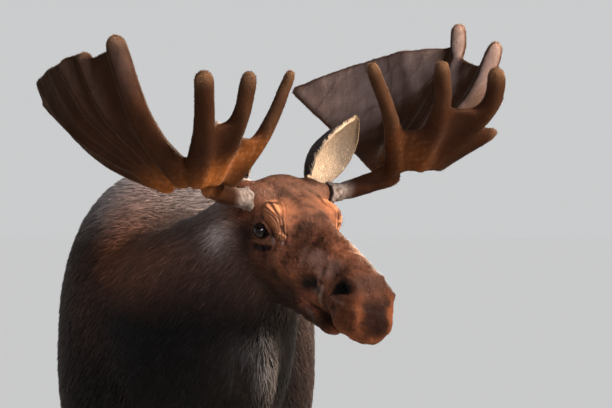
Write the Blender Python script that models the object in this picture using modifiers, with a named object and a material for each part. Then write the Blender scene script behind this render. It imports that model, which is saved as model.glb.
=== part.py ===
"""A bull moose in summer velvet, standing still with its head turned to its left, at life size.

Metres, +Z up. The animal faces -Y and its left side is +X. The surface is at the tips of the coat.
The flesh is lofted from a few stations and fused into one skin. Thin cuts part it into head, neck,
trunk and legs.
"""

import math

import bmesh
import bpy
import numpy as np
from mathutils import Matrix, Vector

# Driving sizes
HEAD_ORIGIN = Vector((0.277, -0.72, 1.812))  # midpoint between the antler burrs
HEAD_YAW = math.radians(32)  # turned to its left
HEAD_PITCH = math.radians(30)  # face line below the horizontal
HEAD_ROLL = math.radians(-3)
BURR_OUT = 0.122  # burr centre from the head's middle plane
EYE_PLACE = Vector((0.1015, -0.073, -0.0625))  # eyeball centre, in the head's frame
EYE_RADIUS = 0.0205
LEG_CUT_HEIGHT = 0.945  # just under the belly
CORONET_HEIGHT = 0.072  # top of the hoof at its middle
CORONET_SLOPE = 0.34  # higher at the toe than at the heel
CUT_HALF_GAP = 0.0004  # pieces parted by a cut
CUT_MARGIN = 0.006  # a piece is simplified a little past its cut, then trimmed
JOIN_GAP = 0.0006  # pieces that sit in or on another
BODY_VOXEL = 0.008
ANTLER_VOXEL = 0.0055

HEAD_TURN = Matrix.Translation(HEAD_ORIGIN) @ Matrix.Rotation(HEAD_YAW, 4, "Z")
HEAD_LEVEL = HEAD_TURN @ Matrix.Rotation(HEAD_ROLL, 4, "Y")
HEAD_FRAME = HEAD_TURN @ Matrix.Rotation(HEAD_PITCH, 4, "X") @ Matrix.Rotation(HEAD_ROLL, 4, "Y")
SIDES = (("left", 1), ("right", -1))

# Trunk stations, nose to tail: y, height of the widest level, half width, rise to the back, drop to the belly
TRUNK = (
    (-0.42, 1.34, 0.10, 0.14, 0.12),
    (-0.33, 1.36, 0.22, 0.33, 0.27),
    (-0.18, 1.37, 0.315, 0.475, 0.375),
    (0.02, 1.37, 0.348, 0.520, 0.400),
    (0.28, 1.35, 0.330, 0.470, 0.390),
    (0.60, 1.32, 0.330, 0.385, 0.355),
    (0.90, 1.33, 0.300, 0.335, 0.295),
    (1.16, 1.36, 0.285, 0.305, 0.280),
    (1.36, 1.37, 0.245, 0.240, 0.245),
    (1.49, 1.37, 0.170, 0.165, 0.180),
    (1.55, 1.36, 0.080, 0.070, 0.085),
)
TRUNK_TOP_POWER = 2.5
NECK_POWER, LEG_POWER = 2.3, 2.1
# Soft forms on each side of the trunk: middle, then radii
SHOULDER = ((0.20, -0.08, 1.36), (0.12, 0.20, 0.30))
THIGH = ((0.19, 1.14, 1.30), (0.15, 0.25, 0.27))

# Neck stations from the chest to the skull: x, y, z, half width, rise to the crest, drop to the throat
NECK = (
    (0.00, 0.02, 1.36, 0.27, 0.42, 0.36),
    (0.02, -0.20, 1.42, 0.265, 0.375, 0.35),
    (0.08, -0.38, 1.52, 0.225, 0.275, 0.28),
    (0.155, -0.53, 1.63, 0.165, 0.175, 0.205),
    (0.215, -0.635, 1.71, 0.125, 0.14, 0.16),
    (0.245, -0.69, 1.73, 0.10, 0.11, 0.12),
)

# Skull and muzzle stations in the head's frame: forward, height of the widest level, half width,
# rise, drop and power
SKULL = (
    (-0.095, -0.085, 0.050, 0.070, 0.070, 2.2),
    (-0.070, -0.090, 0.088, 0.112, 0.115, 2.3),
    (-0.020, -0.095, 0.098, 0.135, 0.140, 2.4),
    (0.050, -0.095, 0.100, 0.132, 0.148, 2.4),
    (0.120, -0.090, 0.093, 0.120, 0.140, 2.3),
    (0.200, -0.085, 0.077, 0.108, 0.118, 2.3),
    (0.280, -0.075, 0.066, 0.100, 0.095, 2.4),
    (0.360, -0.065, 0.064, 0.092, 0.078, 2.5),
    (0.430, -0.060, 0.070, 0.080, 0.078, 2.5),
    (0.485, -0.074, 0.071, 0.068, 0.068, 2.5),
    (0.522, -0.090, 0.060, 0.048, 0.054, 2.4),
    (0.542, -0.100, 0.038, 0.024, 0.032, 2.2),
)
LOWER_JAW = (
    (-0.030, -0.160, 0.060, 0.050, 0.060, 2.2),
    (0.040, -0.180, 0.074, 0.060, 0.090, 2.2),
    (0.140, -0.180, 0.060, 0.055, 0.082, 2.2),
    (0.240, -0.176, 0.047, 0.045, 0.060, 2.2),
    (0.300, -0.184, 0.041, 0.032, 0.040, 2.2),
    (0.350, -0.190, 0.036, 0.024, 0.026, 2.3),
    (0.388, -0.191, 0.021, 0.014, 0.016, 2.2),
)
# Soft forms added on each side of the head: across, forward, up, then their radii in the same order
HEAD_FORMS = (
    (0.072, 0.040, -0.130, 0.042, 0.095, 0.090),  # cheek muscle
    (0.076, 0.092, -0.012, 0.028, 0.052, 0.026),  # brow
    (0.068, 0.140, -0.098, 0.027, 0.110, 0.036),  # bone under the eye
    (0.054, 0.452, -0.048, 0.026, 0.046, 0.040),  # nostril wing
    (0.044, 0.462, -0.108, 0.034, 0.058, 0.034),  # upper lip
    (0.096, -0.054, -0.020, 0.042, 0.036, 0.038),  # root of the ear
    (0.070, 0.000, 0.000, 0.034, 0.032, 0.030),  # pedicle root
)
PEDICLE = ((0.050, -0.012), (0.090, -0.006), (BURR_OUT + 0.012, -0.004))  # out and up
PEDICLE_RADIUS = 0.034

# Leg stations, top to bottom: y from the leg's line, height, half width, half depth ahead, half depth behind
FORE_LEG = (
    (0.00, 1.28, 0.080, 0.15, 0.15),
    (0.01, 1.08, 0.078, 0.125, 0.125),
    (0.00, 0.94, 0.066, 0.088, 0.092),
    (-0.01, 0.76, 0.052, 0.062, 0.064),
    (-0.015, 0.60, 0.047, 0.050, 0.050),
    (-0.018, 0.545, 0.050, 0.052, 0.046),
    (-0.012, 0.475, 0.040, 0.040, 0.042),
    (-0.005, 0.34, 0.033, 0.036, 0.040),
    (-0.008, 0.22, 0.040, 0.042, 0.050),
    (-0.030, 0.145, 0.039, 0.040, 0.044),
    (-0.054, 0.095, 0.050, 0.054, 0.052),
    (-0.060, 0.045, 0.052, 0.056, 0.054),
)
HIND_LEG = (
    (-0.10, 1.30, 0.130, 0.22, 0.20),
    (-0.14, 1.12, 0.115, 0.19, 0.19),
    (-0.10, 0.96, 0.082, 0.145, 0.125),
    (0.00, 0.80, 0.056, 0.080, 0.080),
    (0.082, 0.690, 0.045, 0.062, 0.066),
    (0.112, 0.620, 0.047, 0.060, 0.056),
    (0.108, 0.52, 0.039, 0.046, 0.044),
    (0.088, 0.36, 0.034, 0.038, 0.042),
    (0.070, 0.22, 0.041, 0.042, 0.050),
    (0.045, 0.145, 0.039, 0.040, 0.044),
    (0.020, 0.095, 0.050, 0.054, 0.052),
    (0.014, 0.045, 0.052, 0.056, 0.054),
)
FORE_OUT, HIND_OUT = 0.185, 0.180
# Each leg's line along Y: the stance is slightly staggered, as a grazing animal stands
LEGS = (
    ("fore_left", FORE_LEG, FORE_OUT, -0.06),
    ("fore_right", FORE_LEG, -FORE_OUT, 0.03),
    ("hind_left", HIND_LEG, HIND_OUT, 1.29),
    ("hind_right", HIND_LEG, -HIND_OUT, 1.19),
)
KNEE_CUT = {"fore": 0.520, "hind": 0.640}

HOOF_RINGS = ((0.0, 1.0), (0.12, 1.0), (1.0, 0.84))  # share of the height, and size there
HOOF_SIDES = 12
HOOF_POINT = 0.45  # how much narrower the toe's tip is
HOOF_LEAN = 0.9  # how far the top sits back, as a share of HOOF_AHEAD
MID_BODY_Y = 0.6  # between the fore and hind legs
HOOF_LENGTH, HOOF_WIDTH = 0.142, 0.056  # one toe, at the ground
HOOF_SPREAD = 0.0305  # toe centre from the leg's middle plane
HOOF_AHEAD = 0.022  # the toes reach ahead of the pastern
DEWCLAW = (0.021, 0.040, 0.135)  # out, behind the pastern, height
DEWCLAW_RADII = (0.015, 0.017, 0.027)

# Ear, along its length: share of the length, half width, depth of the cup
EAR_BASE = Vector((0.126, 0.066, -0.026))
EAR_TIP = Vector((0.212, 0.082, 0.168))
EAR_FACES = Vector((0.30, -0.93, 0.10))
EAR_STATIONS = (
    (0.00, 0.029, 0.036),
    (0.17, 0.055, 0.054),
    (0.36, 0.072, 0.058),
    (0.55, 0.070, 0.050),
    (0.74, 0.055, 0.036),
    (0.89, 0.032, 0.020),
    (1.00, 0.008, 0.008),
)
EAR_THICKNESS = 0.007

# Bell, the flap of skin under the throat, and tail: x, y, z, half width, half depth
BELL = (
    (0.196, -0.560, 1.530, 0.038, 0.064),
    (0.202, -0.575, 1.465, 0.047, 0.066),
    (0.207, -0.582, 1.390, 0.049, 0.060),
    (0.209, -0.586, 1.310, 0.040, 0.048),
    (0.210, -0.588, 1.250, 0.020, 0.024),
)
TAIL = (
    (0.0, 1.490, 1.520, 0.036, 0.030),
    (0.0, 1.545, 1.485, 0.042, 0.026),
    (0.0, 1.568, 1.420, 0.036, 0.022),
    (0.0, 1.572, 1.375, 0.016, 0.012),
)

# Cuts through the flesh: a point on the plane and the way it faces
HEAD_CUT = (Vector((0.236, -0.668, 1.715)), Vector((0.43, -0.76, 0.48)))
NECK_CUT = (Vector((0.045, -0.300, 1.455)), Vector((0.28, -0.84, 0.47)))
# and through each antler, in the head's level frame, on the left side
BEAM_CUT = (Vector((0.235, -0.035, 0.015)), Vector((0.92, -0.22, 0.33)))
FORK_CUT = (Vector((0.360, -0.090, 0.050)), Vector((-0.40, -0.90, -0.15)))

# Antlers, from the midpoint between the burrs: outward, forward, up. Each rib is its root, bend and
# tip, then its radius at each.
BEAM = ((0.085, 0.000, -0.012), (0.190, 0.020, 0.004), (0.310, 0.070, 0.046))
BEAM_RADII = (0.026, 0.029, 0.036)
PALM_THICKNESS = 0.015  # half of it
REAR_RIBS = (
    ((0.335, -0.030, 0.050), (0.500, -0.150, 0.200), (0.550, -0.250, 0.360), (0.030, 0.019, 0.017)),
    ((0.330, -0.040, 0.045), (0.480, -0.230, 0.175), (0.492, -0.420, 0.325), (0.030, 0.019, 0.017)),
    ((0.330, -0.030, 0.036), (0.385, -0.275, 0.112), (0.388, -0.575, 0.268), (0.030, 0.021, 0.018)),
)
LEFT_ANTLER = {
    "brow": (
        ((0.280, 0.090, 0.050), (0.195, 0.205, 0.185), (0.112, 0.248, 0.336), (0.034, 0.025, 0.020)),
        ((0.330, 0.110, 0.055), (0.311, 0.270, 0.205), (0.287, 0.322, 0.333), (0.036, 0.028, 0.024)),
        ((0.370, 0.110, 0.060), (0.447, 0.285, 0.200), (0.443, 0.342, 0.308), (0.036, 0.029, 0.026)),
        ((0.390, 0.100, 0.060), (0.440, 0.185, 0.105), (0.505, 0.245, 0.142), (0.034, 0.028, 0.019)),
    ),
    "brow_web": (0.30, 0.46, 0.58),
    "main": (
        ((0.350, 0.075, 0.055), (0.500, 0.135, 0.220), (0.585, 0.140, 0.372), (0.036, 0.029, 0.025)),
        ((0.345, 0.030, 0.055), (0.520, 0.000, 0.250), (0.580, -0.035, 0.428), (0.036, 0.027, 0.024)),
        ((0.340, -0.010, 0.055), (0.515, -0.080, 0.220), (0.622, -0.105, 0.366), (0.030, 0.022, 0.020)),
        *REAR_RIBS,
    ),
    "main_web": (0.66, 0.84, 0.93, 0.97, 0.97),
}
RIGHT_ANTLER = {
    "brow": (
        ((0.235, 0.085, 0.040), (0.178, 0.190, 0.165), (0.119, 0.248, 0.328), (0.034, 0.024, 0.018)),
        ((0.300, 0.110, 0.050), (0.302, 0.270, 0.200), (0.292, 0.322, 0.330), (0.036, 0.027, 0.024)),
        ((0.340, 0.110, 0.050), (0.402, 0.262, 0.190), (0.446, 0.346, 0.334), (0.040, 0.031, 0.029)),
    ),
    "brow_web": (0.36, 0.46),
    "main": (
        ((0.345, 0.070, 0.050), (0.504, 0.138, 0.200), (0.588, 0.142, 0.434), (0.038, 0.034, 0.031)),
        ((0.335, 0.010, 0.050), (0.520, 0.000, 0.230), (0.578, -0.035, 0.395), (0.032, 0.024, 0.026)),
        ((0.335, -0.010, 0.050), (0.515, -0.080, 0.220), (0.588, -0.120, 0.380), (0.030, 0.022, 0.024)),
        *REAR_RIBS,
    ),
    "main_web": (0.80, 0.95, 0.94, 0.96, 0.96),
}

# Triangles in each faceted solid
TRIANGLES = {
    "head": 1720,
    "neck": 380,
    "trunk": 860,
    "leg": 150,
    "shank": 170,
    "beam": 130,
    "brow": 480,
    "palm": 550,
}

COLOURS = {
    "summer_coat": (0.095, 0.055, 0.038, 0.85),
    "velvet": (0.20, 0.10, 0.055, 0.9),
    "hoof_horn": (0.03, 0.026, 0.023, 0.5),
    "eye": (0.012, 0.008, 0.006, 0.05),
}


def material(name):
    """A plain finish from COLOURS: red, green, blue and roughness."""
    made = bpy.data.materials.get(name)
    if made is None:
        red, green, blue, roughness = COLOURS[name]
        made = bpy.data.materials.new(name)
        made.use_nodes = True
        shader = made.node_tree.nodes["Principled BSDF"]
        shader.inputs["Base Color"].default_value = (red, green, blue, 1)
        shader.inputs["Roughness"].default_value = roughness
        shader.inputs["Metallic"].default_value = 0
        made.diffuse_color = (red, green, blue, 1)
    return made


def clear_scene():
    for old in list(bpy.data.objects):
        bpy.data.objects.remove(old)


def through(stations, steps):
    """A smooth curve through the stations, with this many steps from each to the next."""
    rows = np.array(stations, float)
    padded = np.vstack([2 * rows[0] - rows[1], rows, 2 * rows[-1] - rows[-2]])
    found = []
    for index in range(len(rows) - 1):
        a, b, c, d = padded[index : index + 4]
        for step in range(steps):
            t = step / steps
            bend = (2 * a - 5 * b + 4 * c - d) * t * t + (3 * b - a - 3 * c + d) * t**3
            found.append(0.5 * (2 * b + (c - a) * t + bend))
    found.append(rows[-1])
    return np.array(found)


def oval(centre, across, rise, drop, power, sides):
    """A superellipse as a ring of points: half as wide as across, with its own height above and below."""
    points = []
    for index in range(sides):
        angle = 2 * math.pi * (index + 0.5) / sides
        cosine, sine = math.cos(angle), math.sin(angle)
        out = math.copysign(abs(cosine) ** (2 / power), cosine)
        up = math.copysign(abs(sine) ** (2 / power), sine)
        points.append(centre + across * out + (rise if up > 0 else drop) * up)
    return points


def loft(bm, rings):
    """A closed tube through the rings, capped at both ends."""
    levels = [[bm.verts.new(point) for point in ring] for ring in rings]
    count = len(levels[0])
    for low, high in zip(levels, levels[1:]):
        for index in range(count):
            after = (index + 1) % count
            bm.faces.new((low[index], low[after], high[after], high[index]))
    bm.faces.new(levels[0])
    bm.faces.new(levels[-1])


def ellipsoid(bm, frame, place, radii):
    size = Matrix.Diagonal((*radii, 1))
    matrix = frame @ Matrix.Translation(place) @ size
    bmesh.ops.create_uvsphere(bm, u_segments=20, v_segments=12, radius=1, matrix=matrix)


def tube(bm, path, radii, frame, sides):
    """A round bar along a smooth path, ending in a dome. Its middle line is returned."""
    rows = [(*place, radius) for place, radius in zip(path, radii)]
    line = through(rows, 8)
    ends = [Vector(row[:3]) for row in line]
    widths = [float(row[3]) for row in line]
    last = (ends[-1] - ends[-2]).normalized()
    tip, tip_radius = ends[-1] - last * widths[-1], widths[-1]
    while (ends[-1] - tip).dot(last) > -1e-6 and len(ends) > 3:
        ends.pop()
        widths.pop()
    for step in range(5):
        angle = math.pi / 2 * step / 4.3
        ends.append(tip + last * (tip_radius * math.sin(angle)))
        widths.append(tip_radius * math.cos(angle))
    rings = []
    hint = Vector((0.3, 0.2, 1))
    for index, (place, width) in enumerate(zip(ends, widths)):
        ahead = ends[min(index + 1, len(ends) - 1)] - ends[max(index - 1, 0)]
        across = (hint - ahead * (hint.dot(ahead) / ahead.length_squared)).normalized()
        other = ahead.cross(across).normalized() * width
        rings.append([frame @ p for p in oval(place, across * width, other, other, 2, sides)])
    loft(bm, rings)
    return ends


def fused(name, bm, voxel, smoothing):
    """The closed forms in bm made into one skin, smoothed where they meet, as a mesh in a scratch object."""
    bmesh.ops.recalc_face_normals(bm, faces=bm.faces)
    mesh = bpy.data.meshes.new(name)
    bm.to_mesh(mesh)
    bm.free()
    scratch = bpy.data.objects.new(name, mesh)
    bpy.context.scene.collection.objects.link(scratch)
    remesh = scratch.modifiers.new("fuse", "REMESH")
    remesh.mode = "VOXEL"
    remesh.voxel_size = voxel
    smooth = scratch.modifiers.new("blend", "SMOOTH")
    smooth.factor = 0.5
    smooth.iterations = smoothing
    return evaluated_mesh(scratch, remove=True)


def evaluated_mesh(scratch, remove):
    bpy.context.view_layer.update()
    graph = bpy.context.evaluated_depsgraph_get()
    mesh = bpy.data.meshes.new_from_object(scratch.evaluated_get(graph))
    if remove:
        bpy.data.objects.remove(scratch)
    return mesh


def keep_side(mesh, planes, offset):
    """The share of the closed mesh that lies more than offset ahead of each plane."""
    bm = bmesh.new()
    bm.from_mesh(mesh)
    for point, facing in planes:
        direction = Vector(facing).normalized()
        place = Vector(point) + direction * offset
        geometry = bm.verts[:] + bm.edges[:] + bm.faces[:]
        bmesh.ops.bisect_plane(bm, geom=geometry, plane_co=place, plane_no=direction, clear_inner=True)
        bmesh.ops.holes_fill(bm, edges=[edge for edge in bm.edges if edge.is_boundary], sides=0)
    bmesh.ops.triangulate(bm, faces=[face for face in bm.faces if len(face.verts) > 4])
    bmesh.ops.recalc_face_normals(bm, faces=bm.faces)
    made = bpy.data.meshes.new("piece")
    bm.to_mesh(made)
    bm.free()
    return made


def flipped(plane):
    point, facing = plane
    return point, -facing


def parted(mesh, planes, triangles):
    """The share of the dense mesh ahead of all the planes, simplified, with true flat faces at its cuts."""
    rough = largest_body(keep_side(mesh, planes, -CUT_MARGIN))
    return largest_body(keep_side(simpler(rough, triangles), planes, CUT_HALF_GAP))


def largest_body(mesh):
    """The mesh without any crumbs that a cut leaves loose."""
    bm = bmesh.new()
    bm.from_mesh(mesh)
    left, bodies = set(bm.verts), []
    while left:
        grown, edge = set(), [left.pop()]
        while edge:
            vertex = edge.pop()
            grown.add(vertex)
            near = {e.other_vert(vertex) for e in vertex.link_edges} & left
            left -= near
            edge.extend(near)
        bodies.append(grown)
    main = max(bodies, key=len)
    bmesh.ops.delete(bm, geom=[v for v in bm.verts if v not in main], context="VERTS")
    bm.to_mesh(mesh)
    bm.free()
    return mesh


def simpler(mesh, triangles):
    """The mesh with about this many triangles."""
    bm = bmesh.new()
    bm.from_mesh(mesh)
    bmesh.ops.triangulate(bm, faces=bm.faces)
    bm.to_mesh(mesh)
    bm.free()
    scratch = bpy.data.objects.new("scratch", mesh)
    bpy.context.scene.collection.objects.link(scratch)
    decimate = scratch.modifiers.new("simpler", "DECIMATE")
    decimate.ratio = min(1.0, triangles / len(mesh.polygons))
    return evaluated_mesh(scratch, remove=True)


def node(name, mesh, finish, holder, collection):
    made = bpy.data.objects.new(name, mesh)
    collection.objects.link(made)
    made.parent = holder
    mesh.materials.clear()
    mesh.materials.append(material(finish))
    mesh.shade_smooth()
    return made


def cut_from(target, other, cutters):
    """Takes the neighbour's shape, grown by the gap between pieces, out of the target."""
    cutter = bpy.data.objects.new("cutter_" + target.name + "_" + other.name, other.data.copy())
    cutters.objects.link(cutter)
    cutter.parent = other.parent
    cutter.hide_render = True
    cutter.display_type = "WIRE"
    grow = cutter.modifiers.new("gap", "DISPLACE")
    grow.mid_level = 0
    grow.strength = JOIN_GAP
    cut = target.modifiers.new("cut_" + other.name, "BOOLEAN")
    cut.operation = "DIFFERENCE"
    cut.solver = "EXACT"
    cut.object = cutter


def trunk_forms(bm):
    side = Vector((1, 0, 0))
    line = through([(*row,) for row in TRUNK], 4)
    rings = []
    for y, level, width, rise, drop in line:
        up = Vector((0, 0, 1))
        rings.append(oval(Vector((0, y, level)), side * width, up * rise, up * drop, TRUNK_TOP_POWER, 36))
    loft(bm, rings)
    for _, sign in SIDES:
        for (out, y, z), radii in (SHOULDER, THIGH):
            ellipsoid(bm, Matrix(), (sign * out, y, z), radii)


def neck_forms(bm):
    line = through(NECK, 5)
    rings = []
    for index, row in enumerate(line):
        ahead = Vector(line[min(index + 1, len(line) - 1)][:3]) - Vector(line[max(index - 1, 0)][:3])
        across = ahead.cross(Vector((0, 0, 1))).normalized() * -1
        up = across.cross(ahead).normalized()
        if up.z < 0:
            up.negate()
        x, y, z, width, rise, drop = row
        rings.append(oval(Vector((x, y, z)), across * width, up * rise, up * drop, NECK_POWER, 32))
    loft(bm, rings)


def head_station_rings(stations, steps, sides):
    rings = []
    for forward, level, width, rise, drop, power in through(stations, steps):
        place = Vector((0, -forward, level))
        up = Vector((0, 0, 1))
        ring = oval(place, Vector((width, 0, 0)), up * rise, up * drop, power, sides)
        rings.append([HEAD_FRAME @ point for point in ring])
    return rings


def head_forms(bm):
    loft(bm, head_station_rings(SKULL, 4, 32))
    loft(bm, head_station_rings(LOWER_JAW, 4, 20))
    for _, sign in SIDES:
        for out, forward, up, *radii in HEAD_FORMS:
            ellipsoid(bm, HEAD_FRAME, (sign * out, -forward, up), radii)
        path = [(sign * out, 0.0, up) for out, up in PEDICLE]
        tube(bm, path, (PEDICLE_RADIUS,) * 3, HEAD_LEVEL, sides=16)


def leg_forms(bm, stations, out, line_y):
    rings = []
    for y, z, width, ahead, behind in through(stations, 4):
        place = Vector((out, line_y + y, z))
        rear, front = Vector((0, behind, 0)), Vector((0, ahead, 0))
        rings.append(oval(place, Vector((width, 0, 0)), rear, front, LEG_POWER, 18))
    loft(bm, rings)


def flesh_mesh():
    bm = bmesh.new()
    trunk_forms(bm)
    neck_forms(bm)
    head_forms(bm)
    for _, stations, out, line_y in LEGS:
        leg_forms(bm, stations, out, line_y)
    return fused("flesh", bm, BODY_VOXEL, 6)


def antler_rib(bm, rib, sign):
    """One rib of a palm, from its root past its bend to the round tip of its tine."""
    root, bend, tip, radii = rib
    path = [(sign * out, -forward, up) for out, forward, up in (root, bend, tip)]
    return tube(bm, path, radii, HEAD_LEVEL, sides=12)


def palm(bm, ribs, webs, sign):
    """Ribs that fan out from the fork, with a thin plate between two neighbours up to the notch."""
    lines = []
    for rib in ribs:
        lines.append(antler_rib(bm, rib, sign))
    for first, second, reach in zip(lines, lines[1:], webs):
        steps = 10
        rings = []
        for step in range(steps + 1):
            t = reach * step / steps
            a = first[min(int(t * (len(first) - 1)), len(first) - 1)]
            b = second[min(int(t * (len(second) - 1)), len(second) - 1)]
            across = (b - a) / 2
            ahead = (first[-1] + second[-1] - first[0] - second[0]).normalized()
            thick = across.cross(ahead).normalized() * PALM_THICKNESS
            rings.append([HEAD_LEVEL @ p for p in oval((a + b) / 2, across, thick, thick, 4, 16)])
        loft(bm, rings)


def antler_mesh(shape, sign):
    bm = bmesh.new()
    path = [(sign * out, -forward, up) for out, forward, up in BEAM]
    tube(bm, path, BEAM_RADII, HEAD_LEVEL, sides=16)
    palm(bm, shape["brow"], shape["brow_web"], sign)
    palm(bm, shape["main"], shape["main_web"], sign)
    burr = Matrix.Translation((sign * BURR_OUT, 0.0, -0.006)) @ Matrix.Diagonal((0.014, 0.040, 0.040, 1))
    bmesh.ops.create_uvsphere(bm, u_segments=20, v_segments=10, radius=1, matrix=HEAD_LEVEL @ burr)
    return fused("antler", bm, ANTLER_VOXEL, 5)


def antler_plane(plane, sign):
    """A cut given for the left antler, mirrored to its side and taken to the world."""
    point, facing = plane
    mirror = Vector((sign, 1, 1))
    return HEAD_LEVEL @ (point * mirror), HEAD_LEVEL.to_3x3() @ (facing * mirror)


def add_antler(name, sign, shape, holder, collection):
    mesh = antler_mesh(shape, sign)
    beam, fork = antler_plane(BEAM_CUT, sign), antler_plane(FORK_CUT, sign)
    pieces = (
        ("antler_beam_", "beam", (flipped(beam),)),
        ("antler_brow_palm_", "brow", (beam, fork)),
        ("antler_main_palm_", "palm", (beam, flipped(fork))),
    )
    made = []
    for title, kind, planes in pieces:
        made.append(node(title + name, parted(mesh, planes, TRIANGLES[kind]), "velvet", holder, collection))
    return made


def mesh_of(bm, name):
    bmesh.ops.recalc_face_normals(bm, faces=bm.faces)
    made = bpy.data.meshes.new(name)
    bm.to_mesh(made)
    bm.free()
    return made


def ear_mesh(sign):
    """A cupped leaf: at each station a crescent, whose outer arc is the ear's back."""
    mirror = Vector((sign, 1, 1))
    base, tip = EAR_BASE * mirror, EAR_TIP * mirror
    along = (tip - base).normalized()
    faces = EAR_FACES * mirror
    faces = (faces - along * faces.dot(along)).normalized()
    across = along.cross(faces)
    arc = 7
    rings = []
    for share, width, cup in EAR_STATIONS:
        middle = base + along * ((tip - base).length * share)
        back, inside = [], []
        for index in range(arc):
            angle = math.pi * (index / (arc - 1) - 0.5)
            out, deep = math.sin(angle), math.cos(angle)
            wall = min(EAR_THICKNESS, width * 0.6)
            back.append(middle + across * (width * out) - faces * (cup * deep))
            inner = faces * ((cup - wall) * deep - wall * 0.4)
            inside.append(middle + across * ((width - wall * 0.6) * out) - inner)
        rings.append([HEAD_FRAME @ point for point in back + inside[::-1]])
    bm = bmesh.new()
    loft(bm, rings)
    return mesh_of(bm, "ear")


def hanging_mesh(stations, sides):
    """A soft form hanging down: the bell and the tail."""
    rings = []
    for x, y, z, width, depth in through(stations, 2):
        across, ahead = Vector((width, 0, 0)), Vector((0, depth, 0))
        rings.append(oval(Vector((x, y, z)), across, ahead, ahead, 2, sides))
    bm = bmesh.new()
    loft(bm, rings)
    return mesh_of(bm, "hanging")


def coronet(stations, out, line_y):
    """The sloping plane at the top of the hoof, facing up."""
    middle = Vector((out, line_y + stations[-1][0], CORONET_HEIGHT))
    return middle, Vector((0, CORONET_SLOPE, 1))


def hoof_mesh(plane, side):
    """One toe: flat on the ground, pointed ahead, and closed at the top along the coronet."""
    middle, facing = plane
    low = Vector((middle.x + side * HOOF_SPREAD, middle.y - HOOF_AHEAD, 0))
    rings = []
    for share, size in HOOF_RINGS:
        ring = []
        for index in range(HOOF_SIDES):
            angle = 2 * math.pi * index / HOOF_SIDES
            ahead = -math.cos(angle)
            point_in = 1.0 - HOOF_POINT * max(0.0, -ahead) ** 2
            x = low.x + math.sin(angle) * HOOF_WIDTH / 2 * size * point_in
            y = low.y + ahead * HOOF_LENGTH / 2 * size + share * HOOF_AHEAD * HOOF_LEAN
            top = middle.z - JOIN_GAP - (y - middle.y) * facing.y
            ring.append(Vector((x, y, share * top)))
        rings.append(ring)
    bm = bmesh.new()
    loft(bm, rings)
    return mesh_of(bm, "hoof")


def dewclaw_mesh(stations, out, line_y, side):
    offset, behind, height = DEWCLAW
    bm = bmesh.new()
    lean = Matrix.Rotation(math.radians(-24), 4, "X")
    place = Vector((out + side * offset, line_y + stations[-3][0] + behind, height))
    matrix = Matrix.Translation(place) @ lean @ Matrix.Diagonal((*DEWCLAW_RADII, 1))
    bmesh.ops.create_icosphere(bm, subdivisions=1, radius=1, matrix=matrix)
    return mesh_of(bm, "dewclaw")


def add_leg(flesh, leg, holder, collection, cutters):
    name, stations, out, line_y = leg
    knee_height = KNEE_CUT[name.split("_")[0]]
    side = Vector((math.copysign(1, out), 0, 0))
    rear = Vector((0, 1 if name.startswith("hind") else -1, 0))
    quarter = ((Vector((0, 0, 0)), side), (Vector((0, MID_BODY_Y, 0)), rear))
    below_belly = (Vector((0, 0, LEG_CUT_HEIGHT)), Vector((0, 0, -1)))
    knee = (Vector((0, 0, knee_height)), Vector((0, 0, 1)))
    top_of_hoof = coronet(stations, out, line_y)
    leg_planes = (*quarter, below_belly, knee)
    shank_planes = (*quarter, flipped(knee), top_of_hoof)
    node("leg_" + name, parted(flesh, leg_planes, TRIANGLES["leg"]), "summer_coat", holder, collection)
    shank_mesh = parted(flesh, shank_planes, TRIANGLES["shank"])
    shank = node("shank_" + name, shank_mesh, "summer_coat", holder, collection)
    for side_name, toe in (("inner", -math.copysign(1, out)), ("outer", math.copysign(1, out))):
        hoof = hoof_mesh(top_of_hoof, toe)
        node("hoof_" + name + "_" + side_name, hoof, "hoof_horn", holder, collection)
        claw_mesh = dewclaw_mesh(stations, out, line_y, toe)
        claw = node("dewclaw_" + name + "_" + side_name, claw_mesh, "hoof_horn", holder, collection)
        cut_from(claw, shank, cutters)


def stand_at_origin(holder, collection):
    """Moves the whole animal so that the middle of its box is over the origin."""
    bpy.context.view_layer.update()
    graph = bpy.context.evaluated_depsgraph_get()
    low, high = Vector((1e9,) * 3), Vector((-1e9,) * 3)
    for piece in collection.objects:
        if piece.type != "MESH":
            continue
        for vertex in piece.evaluated_get(graph).data.vertices:
            place = piece.matrix_world @ vertex.co
            low = Vector(map(min, low, place))
            high = Vector(map(max, high, place))
    middle = (low + high) / 2
    holder.location = (-middle.x, -middle.y, -low.z)


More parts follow.
